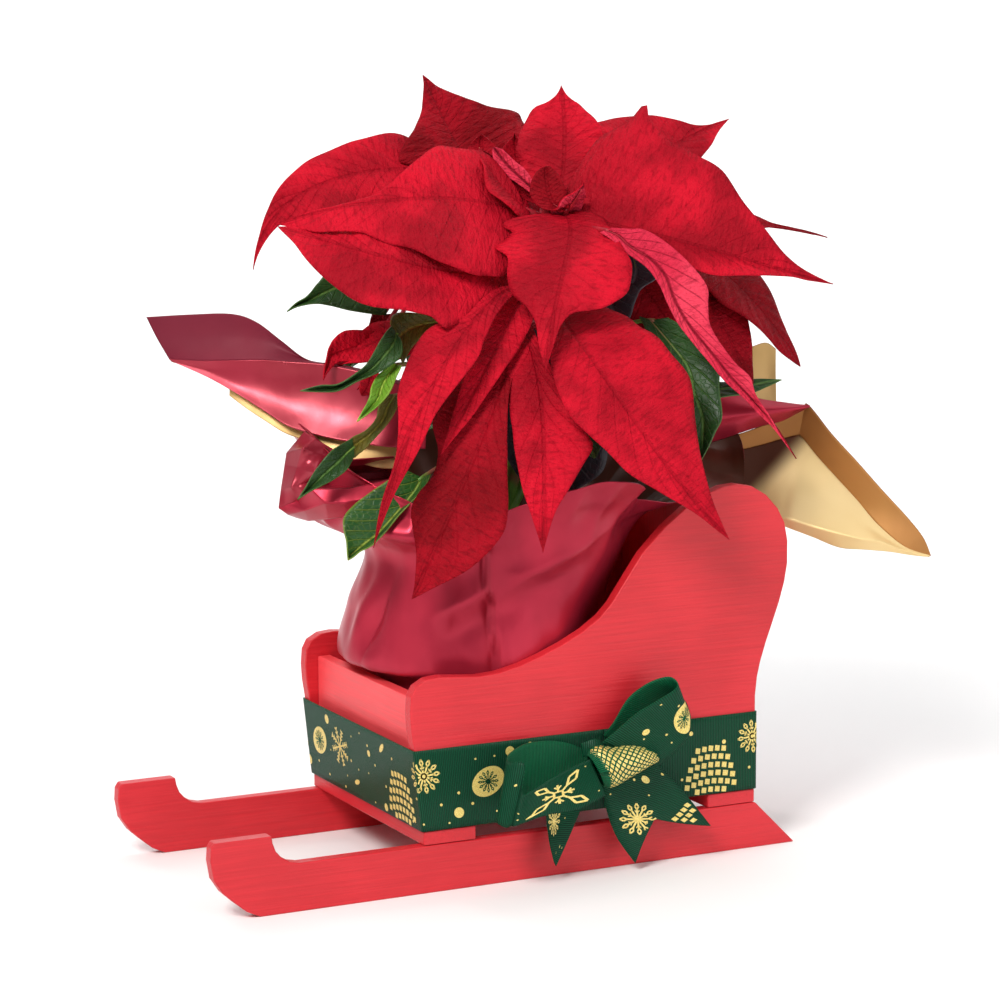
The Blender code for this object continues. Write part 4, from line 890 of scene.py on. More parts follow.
def add_bud(pile, centre, tilt):
    """An egg-shaped bud with a puckered rim at its top, leaning towards tilt."""
    reach, level = np.array(BUD_OUTLINE).T[..., None]
    high = np.linspace(0, 1, len(reach))[:, None]
    turn = np.linspace(0, math.tau, BUD_SIDES, endpoint=False)
    ripple = 1 + 0.05 * np.cos(5 * turn) * high
    x, y = reach * np.cos(turn) * ripple, reach * np.sin(turn) * ripple
    points = np.stack([x, y, np.broadcast_to(level, x.shape)], axis=-1)
    lean = Matrix.Rotation(BUD_LEAN, 3, (-math.sin(tilt), math.cos(tilt), 0.0))
    points = points @ np.array(lean).T + np.asarray(centre)
    uv = np.stack(np.broadcast_arrays(high, turn / math.tau), axis=-1)
    pile.add(points, grid_faces(len(reach), BUD_SIDES, closed=True)[:, ::-1], uv)


def build_buds(name, top, paint):
    """The flower buds in a bloom's middle, each with three short threads in its mouth."""
    pile = Pile()
    x, y, z = top
    line = smooth_rows([(x, y, z + 0.3), (x, y, z + 3.0), (x, y, z + 7.0)], len(BUD_STALK_RADII))
    add_tube(pile, line, BUD_STALK_RADII, 12)
    for out, turn, up in BUDS:
        angle = math.radians(turn)
        centre = (x + out * math.cos(angle), y + out * math.sin(angle), z + up)
        add_bud(pile, centre, angle)
        for k in range(3):
            spread = angle + 2.1 * k
            foot = np.array(centre) + (0.5 * math.cos(spread), 0.5 * math.sin(spread), 2.2)
            tip = foot + (0.9 * math.cos(spread), 0.9 * math.sin(spread), 2.0)
            add_tube(pile, np.linspace(foot, tip, len(THREAD_RADII)), THREAD_RADII, 6)
    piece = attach(pile.piece("flower_buds_" + name, [paint]), "root")
    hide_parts("buds_" + name)


# Film

# The sheet's thickness, and the middle of the film's solid where it lies on the floor board
FILM_THICK = 0.5
FILM_SOLID_THICK = 0.8
FILM_FOOT = FLOOR_TOP + GAP + FILM_SOLID_THICK / 2
# Each column of the flare: its angle, shoulder reach and height, collar reach and height, then
# where the sheet's free edge is: angle, reach and height. Angles are in degrees from +X.
FLARE = (
    (128, 78, 174, 84, 190, 132, 92, 203), (143, 84, 174, 88, 192, 148, 95, 205),
    (152, 86, 172, 88, 194, 152, 97, 208), (159, 88, 170, 88, 196, 158, 97, 210),
    (166, 88, 168, 86, 198, 164, 94, 210), (172, 86, 168, 84, 198, 170, 91, 210),
    (179, 84, 167, 82, 196, 177, 88, 206), (187, 82, 166, 79, 190, 185, 84, 198),
    (198, 80, 165, 75, 182, 196, 78, 188), (212, 75, 161, 71, 172, 209, 72, 180),
    (233, 66, 160, 68, 167, 232, 69, 173), (258, 66, 163, 70, 171, 256, 73, 177),
    (280, 70, 167, 78, 177, 282, 86, 187), (297, 74, 166, 82, 175, 298, 90, 183),
    (312, 68, 160, 72, 166, 313, 77, 173), (325, 76, 164, 84, 167, 326, 92, 169),
    (335, 88, 170, 98, 170, 334, 108, 168), (343, 96, 175, 108, 173, 342, 118, 168),
    (348, 98, 178, 118, 176, 346, 128, 172), (352, 100, 182, 122, 182, 350, 132, 184),
    (356, 102, 185, 124, 188, 354, 134, 192), (360, 104, 188, 124, 192, 358, 134, 198),
    (364, 106, 191, 124, 198, 362, 132, 206), (368, 106, 194, 122, 202, 366, 130, 212),
    (373, 104, 196, 118, 206, 370, 128, 220), (380, 102, 196, 114, 208, 375, 126, 228),
    (389, 102, 195, 118, 212, 380, 132, 234), (398, 98, 190, 116, 212, 386, 130, 234),
    (412, 88, 182, 100, 200, 404, 116, 222), (434, 80, 176, 90, 192, 432, 102, 208),
    (462, 76, 172, 88, 188, 462, 100, 204),
)
# The wall below the flare: its reach at each level, and how far it bulges at its front, which
# faces the curled end of the sleigh, and at its near side. Between the side panels it is held in.
FILM_LEVELS = (FILM_FOOT, 60.0, 90.0, 97.0, 122.0, 150.0)
FILM_REACHES = (43.0, 50.0, 55.4, 56.2, 56.5, 57.0)
FRONT_BULGE = (0.0, 0.0, 0.0, 15.0, 10.0, 2.0)
NEAR_BULGE = (0.0, 0.0, 0.0, 0.0, 0.0, 10.0)
FRONT_TURN = 158.0
NEAR_TURN = -50.0
PANEL_TOP = 115.0
# How much of the way to the free edge's turn the collar takes, and how far the lip is rounded out
COLLAR_TURN = 0.4
LIP_ROUND = 0.08
# The cup's grid: its columns between two of the flare, its rows, and the rings under the pot
FLARE_STEPS = 12
CUP_ROWS = 120
FOOT_RINGS = (0.1, 0.4, 0.75)


def lobe(angle, centre):
    """One on the given side of the pot, falling softly to nothing a quarter turn away."""
    return max(0.0, math.cos(math.radians(angle - centre))) ** 2


def body_reach(angle, level):
    """How far the film stands off the pot's axis at an angle and a level."""
    reach = (np.interp(level, FILM_LEVELS, FILM_REACHES)
             + lobe(angle, FRONT_TURN) * np.interp(level, FILM_LEVELS, FRONT_BULGE)
             + lobe(angle, NEAR_TURN) * np.interp(level, FILM_LEVELS, NEAR_BULGE))
    across = max(abs(math.sin(math.radians(angle))), 0.1)
    room = (WIDTH / 2 - BOARD - 4 * GAP) / across
    return min(float(reach), room) if level < PANEL_TOP else float(reach)


def polar(angle, reach, level):
    """A place by its angle about the pot, its reach from the pot's axis and its level."""
    turn = math.radians(angle)
    return POT + (reach * math.cos(turn), reach * math.sin(turn), level)


def film_column(row):
    """One column of the sheet, from its foot under the pot up to its free edge."""
    angle, shoulder_reach, shoulder_level, collar_reach, collar_level, edge_angle = row[:6]
    column = [polar(angle, body_reach(angle, level), level) for level in FILM_LEVELS]
    shoulder = polar(angle, shoulder_reach, shoulder_level)
    collar_angle = angle + COLLAR_TURN * (edge_angle - angle)
    collar = polar(collar_angle, collar_reach, collar_level)
    edge = polar(*row[5:])
    middle = (collar + edge) / 2 + (collar - shoulder) * LIP_ROUND
    return column + [shoulder, collar, middle, edge]


# The wings and folds that stand out of the cup, as grids of places seen from the side with the
# bow: how far right of the pot's middle, above its rim and nearer than it, in millimetres.
WING_MIDDLE = POT + (0.0, 0.0, 150.0)
# The right wing's inside turns from dark to lit between these distances along this way in view
WING_SHADE_WAY = (0.72, -0.69)
WING_SHADE = (74.0, 85.0)
# The first of each pair of the film's paints: plain, dull, of the cup, and of the glossy folds
# The dull pair is rougher and darker, and the glossy pair's outside darker, than the plain film: the
# darkening is painted shade.
PLAIN_FILM, SHADED_DULL_FILM, CUP_FILM, GLOSSY_SHADED_FILM = 0, 2, 4, 6
LEFT_WING = (
    ((-161, 106, 14), (-156, 96, 14), (-150, 86, 15), (-150, 86, 15), (-149, 85, 15),
     (-149, 85, 15)),
    ((-139, 107, 18), (-137, 96, 18), (-135, 85, 20), (-134, 82, 19.5), (-132, 80, 20),
     (-131, 77, 21)),
    ((-120, 107, 22), (-119, 96, 22), (-118, 85, 25), (-117, 79, 24.5), (-116, 73, 25),
     (-115, 68, 27)),
    ((-108, 103, 25), (-105, 94, 25), (-104, 85, 28), (-103, 76, 27), (-102, 68, 28),
     (-104, 61, 30.5)),
    ((-96, 94, 27), (-94, 89, 27), (-92, 84, 31), (-90, 74, 30), (-90, 63, 31),
     (-93, 54, 34.5)),
    ((-84, 85, 30), (-81, 84, 30), (-78, 83, 33), (-77, 73, 32), (-78, 61, 33), (-81, 50, 36.5)),
    ((-71, 83, 32), (-69, 82, 33), (-67, 81, 36), (-64, 70, 35), (-65, 58, 36), (-68, 47, 39.5)),
    ((-53, 79, 34), (-52, 78, 36), (-51, 77, 38), (-46, 68, 37), (-45, 56, 38), (-47, 44, 41.5)),
    ((-35, 73, 30), (-35, 72, 32), (-34, 70, 34), (-30, 63, 33), (-28, 54, 33.5), (-28, 43, 37)),
)
LEFT_LINING = (
    ((-122, 75, 20), (-121, 72, 20), (-121, 68.5, 20)),
    ((-111, 71, 23), (-112, 67, 23), (-113, 62.5, 24)),
    ((-99, 66, 27), (-101, 62, 27), (-103, 56, 28)), ((-90, 61, 29), (-92, 57, 29), (-94, 50.5, 30)),
    ((-79, 58, 30), (-81, 53, 30), (-83, 46.5, 31)), ((-71, 56, 31), (-71, 49, 33), (-71, 41, 35)),
    ((-62, 53, 33), (-62, 46, 35), (-61, 37, 37)), ((-50, 50, 34), (-50, 43, 36), (-49, 34, 37)),
    ((-38, 47, 32), (-38, 41, 33), (-38, 34, 35)),
)
LEFT_BUNDLE = (
    ((-84, 51, 44), (-78.5, 47.5, 50), (-72, 43.5, 46), (-62, 38, 44), (-42.5, 39.5, 38)),
    ((-92.5, 41, 42), (-84, 43, 56), (-75.5, 40, 48), (-63, 35, 40), (-43, 37.5, 30)),
    ((-93.5, 35.5, 40), (-87, 34, 50), (-78.5, 32, 58), (-65, 31.5, 18), (-43.5, 33.5, 8)),
    ((-95, 24, 42), (-89.5, 25, 52), (-82, 27.5, 50), (-66, 27, 18), (-43.5, 30, 10)),
    ((-96, 15.5, 44), (-87, 19, 46), (-80, 24, 60), (-64, 24, 60), (-42, 28.5, 56)),
    ((-92, 12.5, 40), (-83.5, 14.5, 52), (-73.5, 18, 62), (-64, 18, 62), (-42, 22, 60)),
    ((-88.5, 11, 34), (-82.5, 9.5, 38), (-73, 10.5, 46), (-64.5, 11.5, 50), (-42, 13.5, 54)),
)
RIGHT_WING = (
    ((113, 48, -44), (112, 41, -46), (110, 34, -44), (108, 24, -40), (105, 14, -40)),
    ((134, 55, -44), (134, 46, -49), (134, 34, -47), (133, 17, -41), (131, 8, -43)),
    ((154.5, 64, -42), (152, 51, -50), (148, 32, -45), (143.5, 10.5, -36), (144, 7, -40)),
    ((158.5, 66, -40), (156.5, 50, -50), (154, 31, -44), (150, 9, -33), (150, 5, -37)),
    ((170, 51.5, -38), (164, 40.5, -47), (161, 24, -41), (159.5, 6, -31), (160.5, 1, -35)),
    ((182, 38, -35), (173.5, 29.5, -43), (171, 16, -37), (171, 3, -28), (173, -4, -32)),
    ((194, 24, -32), (182.5, 19, -39), (181.5, 10, -34), (181.5, 0.5, -26), (185.5, -5, -29)),
    ((205.5, 11, -28), (191.5, 7.5, -33), (191, 3, -30), (191.5, -1, -25), (197, -6, -27)),
    ((213, 1, -25), (204, -3.5, -27), (203.5, -4.5, -26), (204, -5.5, -25), (206.5, -7.5, -26)),
    ((216.5, -7.5, -24), (216.5, -8, -24), (216, -8, -24), (216, -8.5, -24), (215.5, -8.5, -24)),
)
RIGHT_ROLL = (
    ((105, 75, -36), (103, 62, -28), (103, 47, -34)), ((114, 74, -38), (113, 61, -30), (112, 48, -38)),
    ((134, 69, -38), (132, 62, -31), (133, 55, -39)), ((147, 67, -38), (145, 63, -33), (145, 58, -40)),
    ((155, 66, -38), (154, 64, -36), (153, 62, -41)), ((159, 66, -39), (159, 65, -39), (159, 65, -40)),
)
REAR_PANEL = (
    ((125, 93, -62), (124, 82, -62), (123, 69, -60), (121, 56, -56)),
    ((133, 96, -63), (132, 83, -64), (132, 70, -62), (130, 57, -58)),
    ((140, 98, -66), (140, 84, -67), (140, 70, -65), (139, 57, -60)),
    ((145, 95, -68), (145, 83, -68), (145, 69, -66), (144, 57, -62)),
)


# The wings' shallow dents and the cup's swell, as waves: how fast each goes by the first and the
# second measure, where it starts, and its share of the whole
DENT_WAVES = ((1 / 9, 1 / 14, 0, 1.0), (-1 / 11, 1 / 5, 1, 0.7), (1 / 4, 0, 0, 0.4))
SWELL_WAVES = ((1 / 9, 1 / 21, 0, 1.0), (1 / 5.5, -1 / 13, 1, 0.6), (1 / 2.7, 1 / 7, 0, 0.35))


def waves(first, second, table):
    """The sum of a table's waves over two measures."""
    return sum(share * np.sin(first * by_first + second * by_second + start)
               for by_first, by_second, start, share in table)


def creased(rows, count, sharp=()):
    """Even steps through the rows, smooth but for a crease at each sharp one."""
    rows = np.asarray(rows, float)
    stops = [0, *sharp, len(rows) - 1]
    parts = []
    for first, last in zip(stops, stops[1:]):
        steps = max(2, round(count * (last - first) / (len(rows) - 1)))
        parts.append(smooth_rows(rows[first:last + 1], steps + 1)[:-1])
    return np.concatenate(parts + [rows[-1:]])


def add_wing(pile, grid, sharp=(), folded=(), inside_near=False, dents=0.1, paint=PLAIN_FILM):
    """One wing or fold of the film; sharp and folded are its creases along and across it."""
    spots = creased(grid, 12 * (len(grid) - 1), folded)
    spots = creased(spots.transpose(1, 0, 2), 10 * (len(grid[0]) - 1), sharp).transpose(1, 0, 2)
    spots[..., 2] += dents * waves(spots[..., 0], spots[..., 1], DENT_WAVES)
    faces = grid_faces(*spots.shape[:2])
    faces = faces[:, ::-1] if inside_near else faces
    pile.add(WING_MIDDLE + spots @ VIEW_AXES, faces, paint=paint)


def build_film(paints):
    """The wrap: a gathered cup round the pot, and the wings and folds that stand out of it."""
    around = FLARE_STEPS * len(FLARE)
    grid = smooth_rows([film_column(row) for row in FLARE], around, closed=True)
    grid = smooth_rows(grid.transpose(1, 0, 2), CUP_ROWS)
    grid = grid + grid_normals(grid, closed=True) * film_folds(grid)[..., None]
    centre = POT + (0, 0, FILM_FOOT)
    rings = [centre + (grid[0] - centre) * (share, share, 0) for share in FOOT_RINGS]
    sheet = np.concatenate([rings, grid])
    rows = len(sheet)
    faces = grid_faces(rows, around, closed=True).tolist()
    faces += [(k, rows * around, (k + 1) % around) for k in range(around)]
    pile = Pile()
    pile.add(np.concatenate([sheet.reshape(-1, 3), [centre]]), faces, paint=CUP_FILM)
    bundle = np.swapaxes(LEFT_BUNDLE, 0, 1)
    add_wing(pile, [row[:3] for row in LEFT_WING], paint=SHADED_DULL_FILM)
    add_wing(pile, [row[2:] for row in LEFT_WING], dents=0.15, paint=GLOSSY_SHADED_FILM)
    add_wing(pile, LEFT_LINING, inside_near=True)
    add_wing(pile, bundle[:, :5], (1, 2, 3), (1, 2, 3), dents=0.5, paint=GLOSSY_SHADED_FILM)
    add_wing(pile, bundle[:, 4:], (1,), (1, 2, 3), dents=0.5)
    add_wing(pile, [row[:2] for row in RIGHT_WING], inside_near=True, paint=SHADED_DULL_FILM)
    add_wing(pile, [row[1:] for row in RIGHT_WING], (2,), inside_near=True, paint=CUP_FILM)
    add_wing(pile, RIGHT_ROLL, dents=0.3)
    add_wing(pile, REAR_PANEL, inside_near=True, dents=0.15)
    piece = thicken(pile.piece("film_sheet", paints["film"]), FILM_THICK)
    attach(piece, "root")
    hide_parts("film_wrap")


# The folds of the cup's wall, in degrees about the pot, levels and millimetres of lift. They show
# between two turns and between two levels, and fade out over the length given last.
SEEN_TURNS = (140, 300, 20)
BODY_LEVELS = ((45, 15), (182, -12))
# The pleat runs up the near side, leaning: it rises slowly to a lip and drops over a step.
PLEAT_TURN = 247.0
PLEAT_LEVEL = 120
PLEAT_LEAN = 0.09
PLEAT_LIP = (3.4, 22)
PLEAT_STEP = (5.5, 7)
PLEAT_SOFT = 0.7
# The crease climbs from it to the right, with a trough below.
CREASE_TURN = 225.0
CREASE_LEVEL = 126
CREASE_CLIMB = 0.5
CREASE_START = (-8, 15)
CREASE_RIDGE = (3.0, 7)
CREASE_TROUGH = (1.8, -12, 8)
# The hollow at the front, with a ridge beside it.
HOLLOW_TURN = 190.0
HOLLOW_LEVEL = 118
HOLLOW_LEAN = 0.3
HOLLOW_DEEP = (5.0, 5)
HOLLOW_RIDGE = (2.2, -9, 5)
HOLLOW_HIGH = 16
# No fold stands out further than this; the neck is gathered into small pleats.
FOLD_MOST = 3.6
SWELL = 0.5
NECK = (172, 14)
NECK_PLEATS = 15
NECK_DEEP = 1.6
REAR_SWELL = 0.25


def ramp(value, start, length):
    """Nought at start and one a length further on, or back where the length is negative."""
    return np.clip((value - start) / length, 0, 1)


def mound(value, middle, width):
    """A smooth rise to one at the middle."""
    return np.exp(-((value - middle) / width) ** 2)


def film_folds(grid):
    """How far the folds lift the sheet outwards, for each point of the cup's grid."""
    turn = np.degrees(np.arctan2(grid[..., 1] - POT[1], grid[..., 0] - POT[0])) % 360
    level = grid[..., 2]
    first, last, fade = SEEN_TURNS
    seen = ramp(turn, first, fade) * ramp(turn, last, -fade)
    body = ramp(level, *BODY_LEVELS[0]) * ramp(level, *BODY_LEVELS[1])
    past = turn - PLEAT_TURN - (PLEAT_LEVEL - level) * PLEAT_LEAN
    pleat = np.where(past > 0, PLEAT_LIP[0] * np.exp(-past / PLEAT_LIP[1]),
                     -PLEAT_STEP[0] * np.exp(past / PLEAT_STEP[1]))
    pleat = pleat * np.minimum(np.abs(past) / PLEAT_SOFT, 1.0)
    climb = level - (CREASE_LEVEL + (turn - CREASE_TURN) * CREASE_CLIMB)
    crease = (CREASE_RIDGE[0] * np.exp(-np.abs(climb) / CREASE_RIDGE[1])
              - CREASE_TROUGH[0] * mound(climb, *CREASE_TROUGH[1:]))
    crease = crease * ramp(turn - CREASE_TURN, *CREASE_START)
    past = turn - HOLLOW_TURN - (level - HOLLOW_LEVEL) * HOLLOW_LEAN
    hollow = (HOLLOW_RIDGE[0] * mound(past, *HOLLOW_RIDGE[1:])
              - HOLLOW_DEEP[0] * np.exp(-np.abs(past) / HOLLOW_DEEP[1]))
    hollow = hollow * mound(level, HOLLOW_LEVEL, HOLLOW_HIGH)
    swell = waves(turn, level, SWELL_WAVES)
    gather = np.abs(np.sin(np.radians(turn) * NECK_PLEATS)) * NECK_DEEP * mound(level, *NECK)
    lift = np.minimum(pleat + crease + hollow + SWELL * swell, FOLD_MOST) * seen * body
    return lift - gather - REAR_SWELL * (1 + np.sin(turn / 4)) * (1 - seen) * body


# Ribbon

# Its width, the height of its lower edge on the box, and the thickness of its sheet; then where
# the box ends and how its front board leans
RIBBON_WIDE = 38.0
RIBBON_BASE = 29.4
RIBBON_THICK = 0.5
BOX_FRONT = 102.3
BOX_REAR = 278.0
FRONT_LEAN = 0.105
# Where the knot's middle is along the box, and how far it stands out from the bow's face
KNOT_ALONG = 195.0
KNOT_OUT = 13.5
# How many steps are made between two rows of a bow ribbon
RIBBON_STEPS = 12


class Ribbon:
    """A ribbon laid along rows of (one edge, the other edge), smoothed between them.

    A notch above zero cuts its last end as a swallow tail of that depth.
    """

    def __init__(self, rows, smooth=True, notch=0.0):
        rows = np.asarray(rows, float)
        edges = smooth_rows(rows, (len(rows) - 1) * RIBBON_STEPS + 1) if smooth else rows
        self.first, self.last = edges[:, 0], edges[:, 1]
        middle = (self.first + self.last) / 2
        gone = np.linalg.norm(np.diff(middle, axis=0), axis=1)
        self.along = np.concatenate([[0], np.cumsum(gone)])
        self.faces = unit(np.cross(np.gradient(middle, axis=0), self.last - self.first))
        self.notch = notch

    def end(self, across):
        """How far along the ribbon reaches at a place across it."""
        middle = 1 - np.abs(np.asarray(across, float) / RIBBON_WIDE * 2 - 1)
        return self.along[-1] - self.notch * middle

    def point(self, along, across, lift=0.0):
        """A place on the ribbon, both ways in millimetres, lifted off its face."""
        first, last, face = [
            np.stack([np.interp(along, self.along, line[:, k]) for k in range(3)], axis=-1)
            for line in (self.first, self.last, self.faces)]
        share = (np.asarray(across, float) / RIBBON_WIDE)[..., None]
        return first + (last - first) * share + face * lift

    def add_to(self, pile):
        """The ribbon's own sheet, with its size in the uv maps."""
        columns = 15
        across = np.linspace(0, RIBBON_WIDE, columns)
        share = np.linspace(0, 1, int(self.along[-1] / 1.2) + 2)[:, None]
        along = share * self.end(across)
        across = across + 0 * along
        size = np.stack([along, across], axis=-1) / 100.0
        pile.add(self.point(along, across), grid_faces(len(share), columns), size, size)


def band_rows():
    """The band's edges round the box: rounded at the corners, leaning with the front board.

    The ribbon starts and ends behind the bow, where the knot hides its join.
    """
    out = GAP + RIBBON_THICK / 2
    rows = []
    for low in (0.0, RIBBON_WIDE):
        level = RIBBON_BASE + low
        front = BOX_FRONT - (level - RUNNER_HIGH) * FRONT_LEAN
        corners = ((BOX_REAR, 0.0, -90), (BOX_REAR, WIDTH, 0), (front, WIDTH, 90),
                   (front, 0.0, 180))
        line = [(KNOT_ALONG, -out, level)]
        for x, y, start in corners:
            for turn in np.radians(np.linspace(start, start + 90, 9)):
                line.append((x + out * math.cos(turn), y + out * math.sin(turn), level))
        line.append(line[0])
        rows.append(line)
    return np.array(rows).transpose(1, 0, 2)


# Prints: each is a list of flat outlines in (along, across) about its own middle

def bar(x0, y0, x1, y1, wide):
    """A straight stroke."""
    way = np.array([x1 - x0, y1 - y0])
    side = np.array([-way[1], way[0]]) / np.linalg.norm(way) * wide / 2
    a, b = np.array([x0, y0]), np.array([x1, y1])
    return [a - side, b - side, b + side, a + side]


def fork(start, reach, rise, wide):
    """Two short barbs that leave an arm, one on each side of it."""
    return [bar(start, 0, start + reach, way * rise, wide) for way in (1, -1)]


def diamond(x, y, long, wide):
    """A filled diamond."""
    return [np.array([x + a, y + b])
            for a, b in ((-long / 2, 0), (0, -wide / 2), (long / 2, 0), (0, wide / 2))]


def open_diamond(x, y, long, wide, stroke):
    """A diamond drawn by its four sides."""
    tips = diamond(x, y, long, wide)
    return [bar(*tips[k], *tips[(k + 1) % 4], stroke) for k in range(4)]


def disc(x, y, radius, sides, tall=1.0):
    """A filled round, or an oval where tall isn't one."""
    turn = np.linspace(0, math.tau, sides, endpoint=False)
    return [np.array([x + radius * math.cos(a), y + tall * radius * math.sin(a)]) for a in turn]


def turned_shapes(shapes, turn, x=0.0, y=0.0, size=1.0):
    """The shapes turned, sized and moved."""
    c, s = math.cos(turn) * size, math.sin(turn) * size
    return [[np.array([x + p[0] * c - p[1] * s, y + p[0] * s + p[1] * c]) for p in shape]
            for shape in shapes]


def ring_of(arm, count, size, first=0, each=1):
    """The same arm turned round the middle, at every so many of count places."""
    shapes = []
    for k in range(first, count, each):
        shapes += turned_shapes(arm, k * math.tau / count, size=size)
    return shapes


def feathered_flake(radius):
    """Eight-armed flake, its arms feathered with short barbs."""
    arm = [bar(0, 0, 1, 0, 0.09)]
    for start in (0.42, 0.64, 0.86):
        arm += fork(start, 0.13, 0.15, 0.07)
    return ring_of(arm, 8, radius)


def beaded_flake(radius):
    """Twelve-armed flake, each arm ending in a small open diamond."""
    arm = [bar(0.1, 0, 0.56, 0, 0.1)] + open_diamond(0.76, 0, 0.4, 0.2, 0.085)
    barbs = fork(0.36, 0.16, 0.12, 0.06)
    return ([disc(0, 0, 0.2 * radius, 12)] + ring_of(arm, 12, radius)
            + ring_of(barbs, 12, radius, 1, 2))


def kite_star(radius):
    """Large star: four long hollow arms with short stubs between them."""
    arm = [bar(0.14, 0, 0.4, 0, 0.07)] + open_diamond(0.7, 0, 0.6, 0.26, 0.075)
    stub = [bar(0.14, 0, 0.46, 0, 0.07)] + fork(0.26, 0.12, 0.11, 0.06)
    middle = turned_shapes(open_diamond(0, 0, 0.36, 0.36, 0.07), 0.0, size=radius)
    return middle + ring_of(arm, 8, radius, 0, 2) + ring_of(stub, 8, radius, 1, 2)


SCALE_STEP = 3.9
SCALE = ((-1.5, -1.2), (1.1, -1.5), (1.5, 1.2), (-1.1, 1.5))


def cone(long, wide):
    """A cone of four-sided scales in staggered rows, rounded at its tip and broad at its foot."""
    shapes = []
    rows = int(long / SCALE_STEP)
    for row in range(rows):
        share = (row + 0.5) / rows
        reach = wide / 2 * math.cos(math.pi / 2 * max(0.9 * share - 0.1, 0.0)) ** 0.6
        if share < 0.15:
            reach = reach * 0.86
        count = round(2 * reach / SCALE_STEP)
        step = 2 * reach / count
        for k in range(count):
            y = (k + 0.5 - count / 2) * step
            x = (share - 0.5) * long - 0.012 * y * y
            shapes.append([np.array([x + a, y + b * step / SCALE_STEP]) for a, b in SCALE])
    return shapes


# Each print's gold outlines, the green ones on top of them, and how far loose dots keep from it
MOTIFS = {
    "feathered": (feathered_flake(9.5), [], 10.5),
    "beaded": (beaded_flake(8.4), [], 9.5),
    "kite": (kite_star(16.0), [], 13.0),
    "cone": (cone(24.0, 30.0), [], 13.0),
    "disc": ([disc(0, 0, 2.3, 20)], [], 3.5),
    "oval": ([disc(0, 0, 3.4, 20, 0.4)], [], 4.0),
    "ball": ([disc(0, 0, 8.8, 30, 0.74)], beaded_flake(5.4), 10.0),
}
# The band's prints, as kind, place along and across, turn and size, and where they repeat
BAND_REPEAT = (
    ("disc", 8.0, 26.0, 0.0, 0.7), ("oval", 24.0, 32.0, 0.7, 1.0), ("cone", 41.0, 12.5, 1.57, 1.0),
    ("beaded", 64.0, 26.0, 0.1, 1.0), ("disc", 80.0, 7.0, 0.0, 1.1),
    ("ball", 96.0, 20.0, 0.5, 1.0), ("feathered", 121.0, 22.0, 0.3, 1.0),
    ("disc", 108.0, 33.0, 0.0, 1.0), ("oval", 138.0, 8.0, 0.3, 0.9))
BAND_REPEAT_LONG = 148.0
BAND_REPEAT_START = 17.0
# Loose dots: their radii with the share of each, one try for each so many millimetres along, how
# far they keep from the ribbon's ends and edges, and from each other
DOT_RADII = (0.5, 0.7, 1.1, 1.9)
DOT_SHARES = (0.36, 0.34, 0.2, 0.1)
DOT_TRY = 2.6
DOT_MARGINS = (2, 2.5)
DOT_CLEAR = 5
# Prints lie this far above the ribbon or each other, keep this far inside its edges, and have no
# edge longer than this, so that they follow its bends
PRINT_LIFT = 0.06
PRINT_MARGIN = 0.3
PRINT_EDGE = 2.2


def dots(ribbon, motifs, seed):
    """Small dots between the motifs, by a seeded draw."""
    rng = np.random.default_rng(seed)
    long, (in_along, in_across) = ribbon.along[-1], DOT_MARGINS
    found = []
    for _ in range(int(long / DOT_TRY)):
        x = rng.uniform(in_along, long - in_along)
        y = rng.uniform(in_across, RIBBON_WIDE - in_across)
        radius = rng.choice(DOT_RADII, p=DOT_SHARES)
        clear = all(math.hypot(x - a, y - b) > MOTIFS[kind][2] * size + radius
                    for kind, a, b, _, size in motifs)
        if clear and all(math.hypot(x - a, y - b) > DOT_CLEAR + radius + r for a, b, r in found):
            found.append((x, y, radius))
    return [disc(x, y, radius, 14) for x, y, radius in found]


def print_on(ribbon, shapes, pile, lift):
    """Lays flat outlines on a ribbon, cut fine enough to follow its bends."""
    flat = bmesh.new()
    for shape in shapes:
        if all(PRINT_MARGIN < y < RIBBON_WIDE - PRINT_MARGIN
               and PRINT_MARGIN < x < ribbon.end(y) - PRINT_MARGIN for x, y in shape):
            flat.faces.new([flat.verts.new((x, y, 0.0)) for x, y in shape])
    bmesh.ops.triangulate(flat, faces=flat.faces)
    for _ in range(3):
        long = [edge for edge in flat.edges if edge.calc_length() > PRINT_EDGE]
        bmesh.ops.subdivide_edges(flat, edges=long, cuts=1)
        bmesh.ops.triangulate(flat, faces=flat.faces)
    flat.verts.index_update()
    spots = np.array([vert.co[:2] for vert in flat.verts])
    faces = [[vert.index for vert in face.verts] for face in flat.faces]
    flat.free()
    pile.add(ribbon.point(spots[:, 0], spots[:, 1], lift), faces, spots / 100, spots / 100)


def print_ribbon(ribbon, motifs, seed, gold, green):
    """Prints motifs and loose dots on the outer face of a ribbon."""
    lift = RIBBON_THICK / 2 + PRINT_LIFT
    bright, dark = dots(ribbon, motifs, seed), []
    for kind, x, y, turn, size in motifs:
        bright += turned_shapes(MOTIFS[kind][0], turn, x, y, size)
        dark += turned_shapes(MOTIFS[kind][1], turn, x, y, size)
    print_on(ribbon, bright, gold, lift)
    if dark:
        print_on(ribbon, dark, green, lift + PRINT_LIFT)


